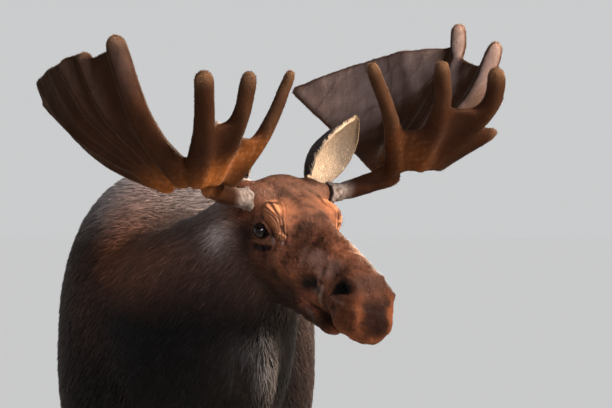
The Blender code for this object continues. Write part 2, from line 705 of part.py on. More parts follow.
def main():
    clear_scene()
    collection = bpy.data.collections.new("moose")
    cutters = bpy.data.collections.new("cutters")
    bpy.context.scene.collection.children.link(collection)
    bpy.context.scene.collection.children.link(cutters)
    holder = bpy.data.objects.new("moose_frame", None)
    collection.objects.link(holder)
    flesh = flesh_mesh()
    above_belly = (Vector((0, 0, LEG_CUT_HEIGHT)), Vector((0, 0, 1)))
    head = node("head", parted(flesh, (HEAD_CUT,), TRIANGLES["head"]), "summer_coat", holder, collection)
    neck_mesh = parted(flesh, (flipped(HEAD_CUT), NECK_CUT), TRIANGLES["neck"])
    neck = node("neck", neck_mesh, "summer_coat", holder, collection)
    trunk_mesh = parted(flesh, (flipped(NECK_CUT), above_belly), TRIANGLES["trunk"])
    trunk = node("trunk", trunk_mesh, "summer_coat", holder, collection)
    for leg in LEGS:
        add_leg(flesh, leg, holder, collection, cutters)
    for (name, sign), shape in zip(SIDES, (LEFT_ANTLER, RIGHT_ANTLER)):
        beam, _, _ = add_antler(name, sign, shape, holder, collection)
        cut_from(beam, head, cutters)
        bm = bmesh.new()
        out, ahead, up = EYE_PLACE
        eye_matrix = HEAD_FRAME @ Matrix.Translation((sign * out, ahead, up))
        bmesh.ops.create_icosphere(bm, subdivisions=2, radius=EYE_RADIUS, matrix=eye_matrix)
        eye = node("eye_" + name, mesh_of(bm, "eye"), "eye", holder, collection)
        cut_from(head, eye, cutters)
        ear = node("ear_" + name, ear_mesh(sign), "summer_coat", holder, collection)
        cut_from(ear, head, cutters)
    bell = node("bell", hanging_mesh(BELL, 12), "summer_coat", holder, collection)
    cut_from(bell, neck, cutters)
    cut_from(bell, head, cutters)
    tail = node("tail", hanging_mesh(TAIL, 10), "summer_coat", holder, collection)
    cut_from(tail, trunk, cutters)
    stand_at_origin(holder, collection)


if __name__ == "__main__":
    main()
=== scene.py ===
"""A life-size bull moose in summer coat, antlers in velvet: skin, coat, eyes, hooves and stage."""

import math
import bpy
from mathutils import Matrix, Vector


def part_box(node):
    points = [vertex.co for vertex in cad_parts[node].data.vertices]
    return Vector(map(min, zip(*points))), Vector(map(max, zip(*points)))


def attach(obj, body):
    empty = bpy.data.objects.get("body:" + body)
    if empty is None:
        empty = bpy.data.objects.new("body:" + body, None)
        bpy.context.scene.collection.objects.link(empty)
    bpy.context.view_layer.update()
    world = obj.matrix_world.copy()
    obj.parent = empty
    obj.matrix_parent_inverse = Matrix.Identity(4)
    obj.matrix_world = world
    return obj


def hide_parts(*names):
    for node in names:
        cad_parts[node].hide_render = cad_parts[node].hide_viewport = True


bl_info = {
    "name": "Bull Moose",
    "version": (1, 0, 0),
    "blender": (4, 5, 0),
    "location": "3D View > Sidebar > Moose",
    "description": "Builds the skin, coat, velvet antlers, eyes and stage of a life-size bull moose",
    "category": "Object",
}

import bmesh
import bpy
import numpy as np
from bpy.props import FloatProperty, PointerProperty
from mathutils import Matrix, Vector
from mathutils.kdtree import KDTree

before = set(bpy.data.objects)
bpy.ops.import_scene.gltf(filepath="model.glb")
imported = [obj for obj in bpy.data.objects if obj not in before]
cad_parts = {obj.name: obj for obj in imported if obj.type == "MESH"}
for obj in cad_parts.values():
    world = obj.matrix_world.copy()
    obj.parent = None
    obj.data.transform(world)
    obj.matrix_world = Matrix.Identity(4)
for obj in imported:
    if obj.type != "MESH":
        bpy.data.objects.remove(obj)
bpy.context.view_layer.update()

# ---- places and sizes, in metres

SIDES = (("left", 1.0), ("right", -1.0))
ENDS = ("fore", "hind")
EYE = Vector((0.1015, -0.073, -0.0625))  # eyeball centre in the head's frame
EYE_RADIUS = 0.0205
HEAD_TURN = (
    Matrix.Rotation(math.radians(32), 3, "Z")
    @ Matrix.Rotation(math.radians(30), 3, "X")
    @ Matrix.Rotation(math.radians(-3), 3, "Y")
)
EYES_AT = [sum(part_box(f"eye_{side}"), Vector()) / 2 for side, _ in SIDES]
HEAD_ORIGIN = (EYES_AT[0] + EYES_AT[1]) / 2 - HEAD_TURN @ Vector((0.0, EYE.y, EYE.z))
TURN, ORIGIN = np.array(HEAD_TURN), np.array(HEAD_ORIGIN)  # the same two, for arrays
BODY_MIDDLE = (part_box("trunk")[0].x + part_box("trunk")[1].x) / 2

LEG_NAMES = [f"{end}_{side}" for end in ENDS for side, _ in SIDES]
# Regions of flesh: CAD nodes, then the coat's depth, lock length, lock width and locks per square metre
REGIONS = {
    "head": (["head"], 0.0026, 0.0088, 0.0015, 128000),
    "neck": (["neck"], 0.009, 0.040, 0.0026, 72000),
    "trunk": (["trunk"], 0.008, 0.036, 0.0038, 23000),
    "leg": ([f"leg_{n}" for n in LEG_NAMES], 0.006, 0.022, 0.0030, 27000),
    "shank": ([f"shank_{n}" for n in LEG_NAMES], 0.004, 0.012, 0.0026, 40000),
    "bell": (["bell"], 0.022, 0.060, 0.0040, 70000),
    "tail": (["tail"], 0.010, 0.045, 0.0040, 60000),
    "ear": ([f"ear_{side}" for side, _ in SIDES], 0.0010, 0.0095, 0.0020, 85000),
}
REGION_NAMES = list(REGIONS)
SKIN_VOXEL = 0.0140  # size of the cells that each surface is made even with
ANTLER_VOXEL = 0.0058
BLEND, EVEN, COMB = 34, 6, 8  # rounds of blurring: of the regions' borders, the surface, the hair's lie
PIECE_LOCKS = 38000  # locks in one piece, which keeps it under 200,000 triangles
COAT_SEED, FUZZ_SEED, LASH_SEED = 100, 60, 7


# ---- arrays and meshes


def linear(text):
    """An sRGB hex colour as the linear colour that shaders and attributes hold."""
    srgb = np.array([int(text[i : i + 2], 16) for i in (1, 3, 5)]) / 255
    return np.where(srgb <= 0.04045, srgb / 12.92, ((srgb + 0.055) / 1.055) ** 2.4)


def unit(vectors):
    return vectors / np.linalg.norm(vectors, axis=-1, keepdims=True).clip(1e-9)


def smooth(values, low, high):
    """0 below low, 1 above high, and an easy slope between; low may be the larger."""
    t = np.clip((values - low) / (high - low), 0, 1)
    return t * t * (3 - 2 * t)


def bell_curve(distance, reach):
    return np.exp(-((distance / reach) ** 2))


def mottle(points, size, seed):
    """Soft random patches of about that size, from about -1 to 1."""
    rng = np.random.default_rng(seed)
    total = np.zeros(len(points))
    for _ in range(7):
        wave = unit(rng.normal(size=3)) * 2 * np.pi / (size * rng.uniform(0.7, 1.7))
        total += np.sin(points @ wave + rng.uniform(0, 2 * np.pi))
    return total / 2.6


def mesh_array(items, name, width, kind=float):
    values = np.empty(len(items) * width, kind)
    items.foreach_get(name, values)
    return values.reshape(-1, width)


def triangles_of(mesh):
    """The mesh's points, and the three corners of each triangle."""
    mesh.calc_loop_triangles()
    return mesh_array(mesh.vertices, "co", 3), mesh_array(mesh.loop_triangles, "vertices", 3, np.int32)


def welded(points, tris, grain=1e-5):
    """The same triangles with each shared point held once."""
    keys = np.round(points / grain).astype(np.int64)
    _, first, place = np.unique(keys, axis=0, return_index=True, return_inverse=True)
    tris = place.ravel()[tris]
    real = (tris[:, 0] != tris[:, 1]) & (tris[:, 1] != tris[:, 2]) & (tris[:, 2] != tris[:, 0])
    return points[first], tris[real]


def rounded(name, crease=math.radians(55), steps=4, bow=0.75):
    """A CAD node's faces, each split in steps along its sides and bowed out between its corners' normals."""
    points, tris = welded(*triangles_of(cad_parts[name].data))
    corners = points[tris]
    area = np.cross(corners[:, 1] - corners[:, 0], corners[:, 2] - corners[:, 0])
    facing = unit(area)
    order = np.argsort(tris, axis=None, kind="stable")
    start = np.searchsorted(tris.ravel()[order], np.arange(len(points) + 1))
    table = start[:-1, None] + np.arange(np.diff(start).max())
    real = table < start[1:, None]
    around = (order // 3)[np.where(real, table, 0)][tris]
    agree = np.einsum("fcmk,fk->fcm", facing[around], facing) > math.cos(crease)
    normals = unit((area[around] * (agree & real[tris])[..., None]).sum(2))
    grid = [(i, j) for i in range(steps + 1) for j in range(steps + 1 - i)]
    weights = np.array([(steps - i - j, i, j) for i, j in grid]) / steps
    flat = np.einsum("gc,fck->fgk", weights, corners)
    rise = np.einsum("fgck,fck->fgc", flat[:, :, None] - corners[:, None], normals)
    bowed = flat - bow * np.einsum("gc,fgc,fck->fgk", weights, rise, normals)
    at = {place: index for index, place in enumerate(grid)}
    small = [(at[i, j], at[i + 1, j], at[i, j + 1]) for i, j in grid if i + j < steps]
    small += [(at[i + 1, j], at[i + 1, j + 1], at[i, j + 1]) for i, j in grid if i + j < steps - 1]
    faces = np.array(small)[None] + (np.arange(len(tris)) * len(grid))[:, None, None]
    return welded(bowed.reshape(-1, 3), faces.reshape(-1, 3))


def mesh_of(name, points, tris):
    mesh = bpy.data.meshes.new(name)
    mesh.vertices.add(len(points))
    mesh.vertices.foreach_set("co", np.ascontiguousarray(points, np.float32).ravel())
    mesh.loops.add(3 * len(tris))
    mesh.loops.foreach_set("vertex_index", np.ascontiguousarray(tris, np.int32).ravel())
    mesh.polygons.add(len(tris))
    mesh.polygons.foreach_set("loop_start", np.arange(0, 3 * len(tris), 3, dtype=np.int32))
    mesh.update(calc_edges=True)
    mesh.validate()
    return mesh


def place_object(name, mesh):
    made = bpy.data.objects.new(name, mesh)
    bpy.context.scene.collection.objects.link(made)
    mesh.polygons.foreach_set("use_smooth", np.ones(len(mesh.polygons), bool))
    return made


def merged(parts):
    """Several solids' points and triangles as one's."""
    starts = np.cumsum([0] + [len(points) for points, _ in parts])
    tris = [tris + start for (_, tris), start in zip(parts, starts)]
    return np.concatenate([points for points, _ in parts]), np.concatenate(tris)


def remeshed(parts, voxel):
    """One even closed mesh over several solids, so that no seam shows."""
    work = place_object("work", mesh_of("work", *merged(parts)))
    change = work.modifiers.new("Even", "REMESH")
    change.mode, change.voxel_size = "VOXEL", voxel
    graph = bpy.context.evaluated_depsgraph_get()
    mesh = bpy.data.meshes.new_from_object(work.evaluated_get(graph))
    old = work.data
    bpy.data.objects.remove(work)
    bpy.data.meshes.remove(old)
    return mesh


def move_points(mesh, points):
    """Puts the mesh's points there, and gives their new normals."""
    mesh.vertices.foreach_set("co", points.ravel())
    mesh.update()
    return mesh_array(mesh.vertex_normals, "vector", 3)


def blurred(values, edges, times, hold=0.4):
    """Values at the points, each averaged with its neighbours' again and again."""
    count = len(values)
    near = np.bincount(edges.ravel(), minlength=count).clip(1)[:, None]
    for _ in range(times):
        total = np.empty_like(values)
        for k in range(values.shape[1]):
            total[:, k] = np.bincount(edges[:, 0], values[edges[:, 1], k], count)
            total[:, k] += np.bincount(edges[:, 1], values[edges[:, 0], k], count)
        values = hold * values + (1 - hold) * total / near
    return values


def split_faces(mesh, wanted):
    """Splits in four each face whose centre wanted picks."""
    work = bmesh.new()
    work.from_mesh(mesh)
    picked = wanted(np.array([face.calc_center_median() for face in work.faces]))
    edges = {edge for face, yes in zip(work.faces, picked) if yes for edge in face.edges}
    bmesh.ops.subdivide_edges(work, edges=list(edges), cuts=1, use_grid_fill=True)
    bmesh.ops.triangulate(work, faces=[face for face in work.faces if len(face.verts) > 4])
    work.to_mesh(mesh)
    work.free()


def joined(mesh, islands):
    """The mesh with islands of triangles added, and the number of points it had before."""
    before = len(mesh.vertices)
    work = bmesh.new()
    work.from_mesh(mesh)
    for points, tris in islands:
        extra = mesh_of("work", points, tris)
        work.from_mesh(extra)
        bpy.data.meshes.remove(extra)
    work.to_mesh(mesh)
    work.free()
    return before


def nearest_label(points, clouds):
    """For each point, the number of the cloud that has the nearest point."""
    tree = KDTree(sum(len(cloud) for cloud in clouds))
    owner = []
    for number, cloud in enumerate(clouds):
        for spot in cloud:
            tree.insert(spot, len(owner))
            owner.append(number)
    tree.balance()
    return np.array([owner[tree.find(spot)[1]] for spot in points])


FIELDS = {"FLOAT": ("value", 1), "FLOAT_VECTOR": ("vector", 3), "FLOAT_COLOR": ("color", 4)}


def keep_values(mesh, name, values, kind="FLOAT"):
    """Stores one value for each point on the mesh as a named attribute."""
    if kind == "FLOAT_COLOR":
        values = np.concatenate([values, np.ones((len(values), 1))], axis=1)
    layer = mesh.attributes.new(name, kind, "POINT")
    layer.data.foreach_set(FIELDS[kind][0], np.ascontiguousarray(values, np.float32).ravel())


def read_values(mesh, name):
    layer = mesh.attributes[name]
    return mesh_array(layer.data, *FIELDS[layer.data_type])[:, :3]


def finish_piece(name, mesh, material, nodes=()):
    """One named piece of the model with its material, tied to the root, and the CAD nodes it stands for
    hidden.
    """
    obj = place_object(name, mesh)
    mesh.materials.append(material)
    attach(obj, "root")
    if nodes:
        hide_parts(*nodes)


# ---- materials

MM = 1000  # in a metre


def add_node(tree, kind, inputs=(), **settings):
    """One shader node; each input is a value, or the output that feeds it."""
    made = tree.nodes.new(kind)
    for name, value in settings.items():
        setattr(made, name, value)
    for name, value in dict(inputs).items():
        if isinstance(value, bpy.types.NodeSocket):
            tree.links.new(value, made.inputs[name])
        else:
            made.inputs[name].default_value = value
    return made


def new_material(name, shader_inputs, bumps=()):
    """A Principled material, made once; bumps: noise sizes and heights in mm.

    Without a Base Color it takes the colours that the formulas for markings, painted shade and painted
    highlights left on the mesh.
    """
    if name in bpy.data.materials:
        return bpy.data.materials[name]
    material = bpy.data.materials.new(name)
    material.use_nodes = True
    tree = material.node_tree
    tree.nodes.clear()
    inputs = dict(shader_inputs)
    if "Base Color" not in inputs:
        inputs["Base Color"] = add_node(tree, "ShaderNodeAttribute", attribute_name="Coat").outputs["Color"]
    place = add_node(tree, "ShaderNodeTexCoord").outputs["Object"] if bumps else None
    normal = {}
    for size, height in bumps:
        noise = {"Vector": place, "Scale": MM / size, "Detail": 3.0}
        grain = add_node(tree, "ShaderNodeTexNoise", noise).outputs["Fac"]
        bump = {"Height": grain, "Distance": height / MM, **normal}
        normal = {"Normal": add_node(tree, "ShaderNodeBump", bump).outputs["Normal"]}
    shader = add_node(tree, "ShaderNodeBsdfPrincipled", {**inputs, **normal})
    add_node(tree, "ShaderNodeOutputMaterial", {"Surface": shader.outputs["BSDF"]})
    return material


def rgba(text):
    return (*linear(text), 1.0)


# ---- the head's frame and its forms


def in_head(points):
    """Points as left, forward and up of the head's own frame."""
    local = (points - ORIGIN) @ TURN
    return local[:, 0], -local[:, 1], local[:, 2]


def out_of_head(left, forward, up):
    local = np.stack([left, -np.asarray(forward), up], axis=-1)
    return local @ TURN.T + ORIGIN


# Swellings and hollows of the face, alike on both sides: side, forward, up, reach, height
FACE_FORMS = (
    (0.090, 0.070, -0.008, 0.034, 0.009),  # brow over the eye
    (0.086, 0.118, -0.020, 0.022, 0.006),  # its front edge, down before the eye
    (0.090, 0.000, -0.030, 0.030, -0.006),  # temple
    (0.055, 0.185, -0.005, 0.030, -0.008),  # dip before the brow
    (0.080, 0.185, -0.065, 0.024, -0.006),  # hollow before the eye
    (0.086, 0.150, -0.100, 0.026, 0.007),  # cheekbone
    (0.080, 0.225, -0.092, 0.026, 0.007),  # its ridge, further forward
    (0.060, 0.325, -0.035, 0.040, 0.006),  # swell behind the nostril
    (0.058, 0.450, -0.100, 0.030, 0.006),  # upper lip
    (0.055, 0.300, -0.165, 0.014, -0.006),  # corner of the mouth
    (0.070, 0.110, -0.190, 0.045, 0.007),  # jaw muscle
    (0.060, 0.190, -0.160, 0.026, -0.006),  # hollow under the cheek
    (0.000, 0.230, 0.040, 0.045, 0.005),  # bridge of the nose
    (0.000, 0.525, -0.060, 0.026, -0.006),  # flat of the nose's front
)
# Folds, ridges and creases on the side of the face: from and to (forward, up), half width, height,
# and the colour it takes with its strength: dark and black are painted shade in and over the creases, pits
# and hollows, gold and pale are painted highlight along the ridges
FACE_STROKES = (
    ((0.262, -0.116), (0.308, -0.084), 0.0170, -0.0110, "black", 0.97),  # hollow before the muzzle, with painted shade in it
    ((0.354, -0.072), (0.338, -0.128), 0.0050, 0.0060, "pale", 0.34),  # wing behind the nostril, with a painted highlight on it
    ((0.344, -0.060), (0.330, -0.112), 0.0050, -0.0040, "dark", 0.60),  # crease behind it, with painted shade in it
    ((0.430, -0.056), (0.470, -0.046), 0.0060, 0.0045, "grey", 0.20),  # lower lip of the nostril
    ((0.402, -0.075), (0.440, -0.095), 0.0150, -0.0020, "dark", 0.45),  # shade under it
    ((0.262, -0.163), (0.292, -0.176), 0.0048, 0.0030, "red", 0.60),  # bare skin at the mouth's corner
    ((0.292, -0.168), (0.315, -0.173), 0.0040, 0.0020, "red", 0.70),
    ((0.275, -0.170), (0.300, -0.172), 0.0016, -0.0020, "dark", 0.80),
    ((0.285, -0.181), (0.332, -0.200), 0.0060, 0.0020, "grey", 0.55),  # edge of the lower lip
    ((0.068, -0.112), (0.094, -0.106), 0.0085, -0.0045, "black", 0.92),  # pouch under the eye, with painted shade in it
    ((0.094, -0.106), (0.116, -0.092), 0.0075, -0.0045, "black", 0.92),
    ((0.062, -0.097), (0.092, -0.088), 0.0030, 0.0020, "warm", 0.60),  # roll between lid and pouch
    ((0.092, -0.064), (0.111, -0.055), 0.0048, -0.0030, "black", 0.90),  # inner corner of the eye, with painted shade in it
    ((0.110, -0.055), (0.129, -0.061), 0.0026, -0.0040, "black", 0.90),  # crease from it, with painted shade in it
    ((0.112, -0.064), (0.120, -0.074), 0.0050, 0.0010, "grey", 0.60),
    ((0.116, -0.040), (0.130, -0.050), 0.0085, 0.0035, "dark", 0.50),  # fold over the crease, with painted shade on it
    ((0.130, -0.016), (0.137, -0.034), 0.0030, 0.0030, "gold", 0.55),  # sharp ridge at its front, with a painted highlight on it
    ((0.137, -0.034), (0.152, -0.039), 0.0030, 0.0030, "gold", 0.50),
    ((0.136, -0.014), (0.143, -0.028), 0.0022, -0.0034, "dark", 0.85),
    ((0.143, -0.028), (0.153, -0.032), 0.0022, -0.0034, "dark", 0.85),
    ((0.158, -0.052), (0.159, -0.050), 0.0046, -0.0065, "black", 0.97),  # tear pit, with painted shade in it
    ((0.149, -0.056), (0.151, -0.060), 0.0030, 0.0015, "pale", 0.60),
    ((0.166, -0.041), (0.172, -0.046), 0.0075, 0.0025, "red", 0.45),
    ((0.045, -0.034), (0.070, -0.030), 0.0022, -0.0026, "dark", 0.70),  # over the upper lid, with painted shade in the crease
)
BROW_CENTRE = (0.010, 0.014)  # along and across the lids
BROW_FOLD = 0.0078  # from one fold to the next
LID_LONG, LID_HIGH, LID_TILT = 0.0186, 0.0152, math.radians(16)
EYE_OUT = unit(np.array([0.80, 0.58, 0.10]))  # side, forward, up: the way the eye looks
EYE_UP = unit(np.array([0.0, 0.0, 1.0]) - EYE_OUT * EYE_OUT[2])
EYE_FORE = np.cross(EYE_UP, EYE_OUT)
LID_ALONG = EYE_FORE * math.cos(LID_TILT) - EYE_UP * math.sin(LID_TILT)
LID_ACROSS = EYE_FORE * math.sin(LID_TILT) + EYE_UP * math.cos(LID_TILT)
NOSTRIL = (0.066, 0.424, -0.030)
NOSTRIL_SIZE = (0.046, 0.0190, 0.046)  # half its length, height and depth
NOSTRIL_TILT = math.radians(36)
MOUTH_FORWARD, MOUTH_UP, MOUTH_SLOPE = 0.30, -0.158, -0.10  # the line where the lips meet


def eye_coordinates(left, forward, up):
    """Along the lids, across them, out of the head, and the almond's own distance, 1 at the lid's edge."""
    local = np.stack([np.abs(left) - EYE.x, forward + EYE.y, up - EYE.z], axis=-1)
    along, across, out = local @ LID_ALONG, local @ LID_ACROSS, local @ EYE_OUT
    ring = np.hypot(along / LID_LONG, across / LID_HIGH) + 20 * smooth(out, -0.035, -0.05)
    return along, across, out, ring


def from_eye(sign, along, across, out):
    """Points by the eye of that side, the other way about."""
    axes = ((along, LID_ALONG), (across, LID_ACROSS), (out, EYE_OUT))
    local = sum(np.multiply.outer(amount, axis) for amount, axis in axes)
    return out_of_head(sign * (EYE.x + local[..., 0]), -EYE.y + local[..., 1], EYE.z + local[..., 2])


def nostril_coordinates(left, forward, up):
    """Distance from the comma-shaped nostril on either side, 1 at its rim, and the place along it."""
    df, du, dl = forward - NOSTRIL[1], up - NOSTRIL[2], np.abs(left) - NOSTRIL[0]
    along = df * math.cos(NOSTRIL_TILT) + du * math.sin(NOSTRIL_TILT)
    across = -df * math.sin(NOSTRIL_TILT) + du * math.cos(NOSTRIL_TILT)
    across = across + 8.0 * along**2
    narrow = 1.0 - 0.35 * smooth(along, 0.0, -0.03)
    long, high, deep = NOSTRIL_SIZE
    return np.sqrt((along / long) ** 2 + (across / (high * narrow)) ** 2 + (dl / deep) ** 2)


def mouth_distance(forward, up):
    """Height over the line where the lips meet, and how much of it lies along the lips."""
    line = MOUTH_UP + MOUTH_SLOPE * (forward - MOUTH_FORWARD)
    along = smooth(forward, 0.280, 0.300) * smooth(forward, 0.37, 0.34)
    return up - line, along


def face_strokes(points):
    """For each stroke, every point's distance from its line, then its width, height, colour and strength."""
    _, forward, up = in_head(points)
    place = np.stack([forward, up + 0.0008 * mottle(points, 0.018, 3)], axis=1)
    for start, end, *row in FACE_STROKES:
        offset, span = place - np.array(start), np.subtract(end, start)
        share = np.clip(offset @ span / (span @ span), 0, 1)
        yield np.linalg.norm(offset - share[:, None] * span, axis=1), *row


def brow_folds(points, left, forward, up):
    """Rings of folded skin over the eye and down before it: 1 along each crease, -1 along each fold."""
    along, across, _, _ = eye_coordinates(left, forward, up)
    along, across = along - BROW_CENTRE[0], across - BROW_CENTRE[1]
    reach = np.hypot(along, across) + 0.0014 * mottle(points, 0.05, 3)
    turn = np.degrees(np.arctan2(across, along))
    window = smooth(reach, 0.036, 0.044) * smooth(reach, 0.076, 0.068)
    window = window * smooth(turn, 0, 30) * smooth(turn, 150, 105)
    return window * np.sin(reach * 2 * np.pi / BROW_FOLD)


def sculpt_head(points, normals):
    """The folds, sockets, nostrils and lips that the solids leave out."""
    left, forward, up = in_head(points)
    side = np.abs(left)
    push = np.zeros(len(points))
    for at_side, at_forward, at_up, reach, height in FACE_FORMS:
        gap = np.sqrt((side - at_side) ** 2 + (forward - at_forward) ** 2 + (up - at_up) ** 2)
        push += height * bell_curve(gap, reach)
    outer = smooth(side, 0.024, 0.036)
    push -= 0.0019 * brow_folds(points, left, forward, up)
    for gap, width, height, _, _ in face_strokes(points):
        push += height * bell_curve(gap, width) * outer
    gap, lips = mouth_distance(forward, up)
    push -= 0.007 * bell_curve(gap, 0.0065) * lips * smooth(side, 0.0, 0.02)
    push += 0.003 * bell_curve(gap - 0.014, 0.008) * lips
    # fine creases behind the mouth's corner
    corner = bell_curve(np.hypot(forward - 0.285, up + 0.15), 0.04) * outer
    push += 0.0013 * corner * np.sin((forward * 0.8 + up * 0.6) * 2 * np.pi / 0.011)
    nostril = nostril_coordinates(left, forward, up)
    push += 0.005 * bell_curve(nostril - 1.3, 0.28) - 0.021 * smooth(nostril, 1.05, 0.35)
    uneven = 0.0020 * mottle(points, 0.050, 5) + 0.0009 * mottle(points, 0.022, 6)
    push += uneven * smooth(forward, -0.05, 0.05)
    moved = points + normals * push[:, None]
    # the orbit swells out to the lids, and the socket falls in behind the eyeball
    along, across, out, ring = eye_coordinates(left, forward, up)
    far = np.hypot(along, across)
    shift = (0.0112 - 11.0 * far**2 - out) * bell_curve(far, 0.032)
    shift -= 0.0024 * bell_curve(ring - 1.85, 0.17) * smooth(across, 0.0, 0.01)
    lower = 0.0022 * bell_curve(ring - 1.9, 0.2) * smooth(across, 0.0, -0.01)
    shift += 0.0020 * bell_curve(ring - 1.35, 0.22) - lower
    shift -= 0.016 * smooth(ring, 1.06, 0.8)
    shift *= smooth(out, -0.05, -0.03)
    way = np.tile(EYE_OUT * (1, -1, 1), (len(left), 1))
    way[:, 0] *= np.sign(left)
    return moved + shift[:, None] * (way @ TURN.T)


def lid_rings(turns=56, sides=10):
    """The bare wet edge of the lids, a thin roll round each eyeball."""
    turn = np.linspace(0, 2 * np.pi, turns, endpoint=False)
    around = np.linspace(0, 2 * np.pi, sides, endpoint=False)
    thick = np.where(np.sin(turn) > 0, 0.0014, 0.0010)[:, None]  # the upper lid's, the lower's
    along, across = LID_LONG * np.cos(turn)[:, None], LID_HIGH * np.sin(turn)[:, None]
    far = np.hypot(along, across)
    scale = (far + thick * np.cos(around)) / far
    out = np.sqrt((EYE_RADIUS + 0.0008) ** 2 - far**2) + thick * np.sin(around)
    i, j = np.meshgrid(np.arange(turns), np.arange(sides), indexing="ij")
    next_i, next_j = (i + 1) % turns * sides, (j + 1) % sides
    a, b, c, d = i * sides + j, i * sides + next_j, next_i + next_j, next_i + j
    tris = np.concatenate([np.stack([a, b, c], -1), np.stack([a, c, d], -1)]).reshape(-1, 3)
    rolls = [from_eye(sign, along * scale, across * scale, out).reshape(-1, 3) for _, sign in SIDES]
    return [(rolls[0], tris), (rolls[1], tris[:, ::-1])]


# ---- markings, painted shade and painted highlights

COLOURS = {
    name: linear(text)
    for name, text in {
        "chestnut": "#754630", "forehead": "#72503F", "bright": "#A86A48", "dark": "#1C0F0A",
        "nose": "#44220F", "orange": "#8C5030", "pink": "#9C7566", "red": "#7A4238", "gold": "#C4865E",
        "grey": "#6C6260", "neck": "#332825", "warm": "#5A3A2C", "silver": "#A39A98",
        "flank": "#271D19", "belly": "#4E4238", "leg": "#70655A", "shank": "#857B6E", "pale": "#8A7D76",
        "ear_in": "#C2A88A", "ear_rim": "#3A3330", "bell": "#2E2722", "panel": "#1E0B04",
        "lid": "#0E0A0A", "nostril": "#080403", "black": "#080505", "eyeball": "#0B0706",
        "iris": "#180D08", "pupil": "#020304", "velvet": "#200F07", "amber": "#9C5824",
        "mauve": "#8C756C", "rim": "#A8805E", "burr": "#93857C", "vein": "#120905",
    }.items()
}
# Patches on the face: colour, forward, up, reach and strength; the bright ones are painted highlight on the
# brow, and the dark and black ones in the hollows by the eye, low on the cheek and jaw and under the nostril
# and upper lip are painted shade
PATCHES = (
    # painted highlight: the bright patches on the brow, where the light falls
    ("bright", 0.098, 0.004, 0.04, 0.8), ("bright", 0.118, -0.03, 0.024, 0.6),
    ("bright", 0.048, -0.02, 0.02, 0.4), ("forehead", 0.04, 0.012, 0.03, 0.4),
    ("dark", 0.168, -0.008, 0.024, 0.45), ("dark", 0.205, 0.014, 0.022, 0.38),
    ("dark", 0.212, -0.034, 0.02, 0.42), ("dark", 0.262, 0.01, 0.036, 0.6),
    # painted shade: the dark and black patches in this row and the next three, in the hollows by the eye and
    # low on the cheek and jaw
    ("warm", 0.105, -0.072, 0.012, 0.6), ("dark", 0.2, -0.088, 0.012, 0.5),
    ("warm", 0.147, -0.135, 0.03, 0.5), ("dark", 0.112, -0.12, 0.018, 0.65),
    ("dark", 0.202, -0.18, 0.034, 0.85), ("dark", 0.04, -0.15, 0.05, 0.85),
    ("dark", 0.11, -0.19, 0.048, 0.75), ("dark", 0.165, -0.16, 0.02, 0.5), ("black", 0.02, -0.1, 0.034, 0.8),
    ("pink", 0.362, -0.016, 0.022, 0.7), ("pink", 0.33, -0.045, 0.02, 0.62),
    ("pink", 0.29, -0.03, 0.026, 0.6), ("pink", 0.25, -0.05, 0.018, 0.4), ("red", 0.262, -0.135, 0.014, 0.5),
    ("grey", 0.325, -0.09, 0.016, 0.55), ("dark", 0.395, 0.0, 0.032, 0.65),
    # painted shade: the second patch in this row, under the nostril, and the patches in the next two rows,
    # under the upper lip and low on the cheek
    ("dark", 0.45, -0.008, 0.034, 0.65), ("dark", 0.375, -0.105, 0.024, 0.7),
    ("black", 0.352, -0.162, 0.026, 0.95), ("black", 0.395, -0.15, 0.018, 0.8),
    ("dark", 0.13, -0.15, 0.03, 0.45), ("dark", 0.24, -0.15, 0.022, 0.5),
)


def plain(name, points):
    return np.tile(COLOURS[name], (len(points), 1))


def painted(colour, layers):
    """The colour with layers mixed over it in turn, each a colour's name and how much of it."""
    for name, amount in layers:
        colour = colour + (COLOURS[name] - colour) * np.clip(amount, 0, 1)[:, None]
    return colour


def face_layers(points, fine, grain):
    """The markings of the head, with painted shade and painted highlights among them, one over another."""
    left, forward, up = in_head(points)
    side = np.abs(left)
    layers = [
        ("dark", 0.11 + 0.30 * fine + 0.28 * grain),
        ("forehead", 0.85 * smooth(up, -0.010, 0.035) * smooth(forward, 0.12, 0.03)),
        ("dark", 0.45 * smooth(fine + 0.4 * grain, -0.6, 1.3) * smooth(forward, 0.14, 0.08)),
        ("nose", 0.8 * smooth(forward, 0.42, 0.48)),
        ("dark", 0.28 * smooth(grain + 0.5 * mottle(points, 0.024, 14), 0.1, 1.3)),
    ]
    ragged = 1 + 0.22 * fine + 0.10 * grain
    for name, at_forward, at_up, reach, strength in PATCHES:
        gap = np.hypot(forward - at_forward, up - at_up) * ragged
        layers.append((name, strength * smooth(gap, 1.7 * reach, 0.15 * reach)))
    middle = smooth(side, 0.065, 0.025) * smooth(forward, 0.02, 0.06) * smooth(forward, 0.24, 0.16)
    front = smooth(forward, 0.475, 0.505) * smooth(up, -0.005, -0.045)
    edge = side + 0.005 * fine + 0.003 * grain
    folds = brow_folds(points, left, forward, up)
    layers += [
        ("forehead", 0.60 * middle),
        ("dark", middle * (0.22 + 0.35 * smooth(fine + 0.5 * grain, -0.3, 1.0))),
        # painted highlight: an orange lit rim round the front of the nose
        ("orange", 0.60 * front * bell_curve(edge - 0.046, 0.013)),
        # painted shade over the front face of the nose and upper lip
        ("panel", 0.95 * front * smooth(edge, 0.058, 0.022) * smooth(up, -0.160, -0.115)),
        # painted highlight: an orange lit line along the lower rim of the nose's front
        ("orange", 0.5 * smooth(forward, 0.44, 0.48) * bell_curve(up + 0.125, 0.014)),
        # painted shade along each crease of the brow's folds, and a painted highlight in gold along each
        # fold
        ("dark", 0.70 * smooth(folds, 0.1, 0.9)),
        ("gold", 0.85 * smooth(folds, 0.0, -0.8)),
    ]
    outer = smooth(side, 0.024, 0.036)
    for gap, width, _, name, strength in face_strokes(points):
        layers.append((name, strength * smooth(gap, 1.9 * width, 0.2 * width) * outer))
    # the last layer is painted shade under the jaw and lower lip
    return layers + [("dark", 0.9 * smooth(up, -0.160, -0.205) * smooth(forward, 0.40, 0.33))]


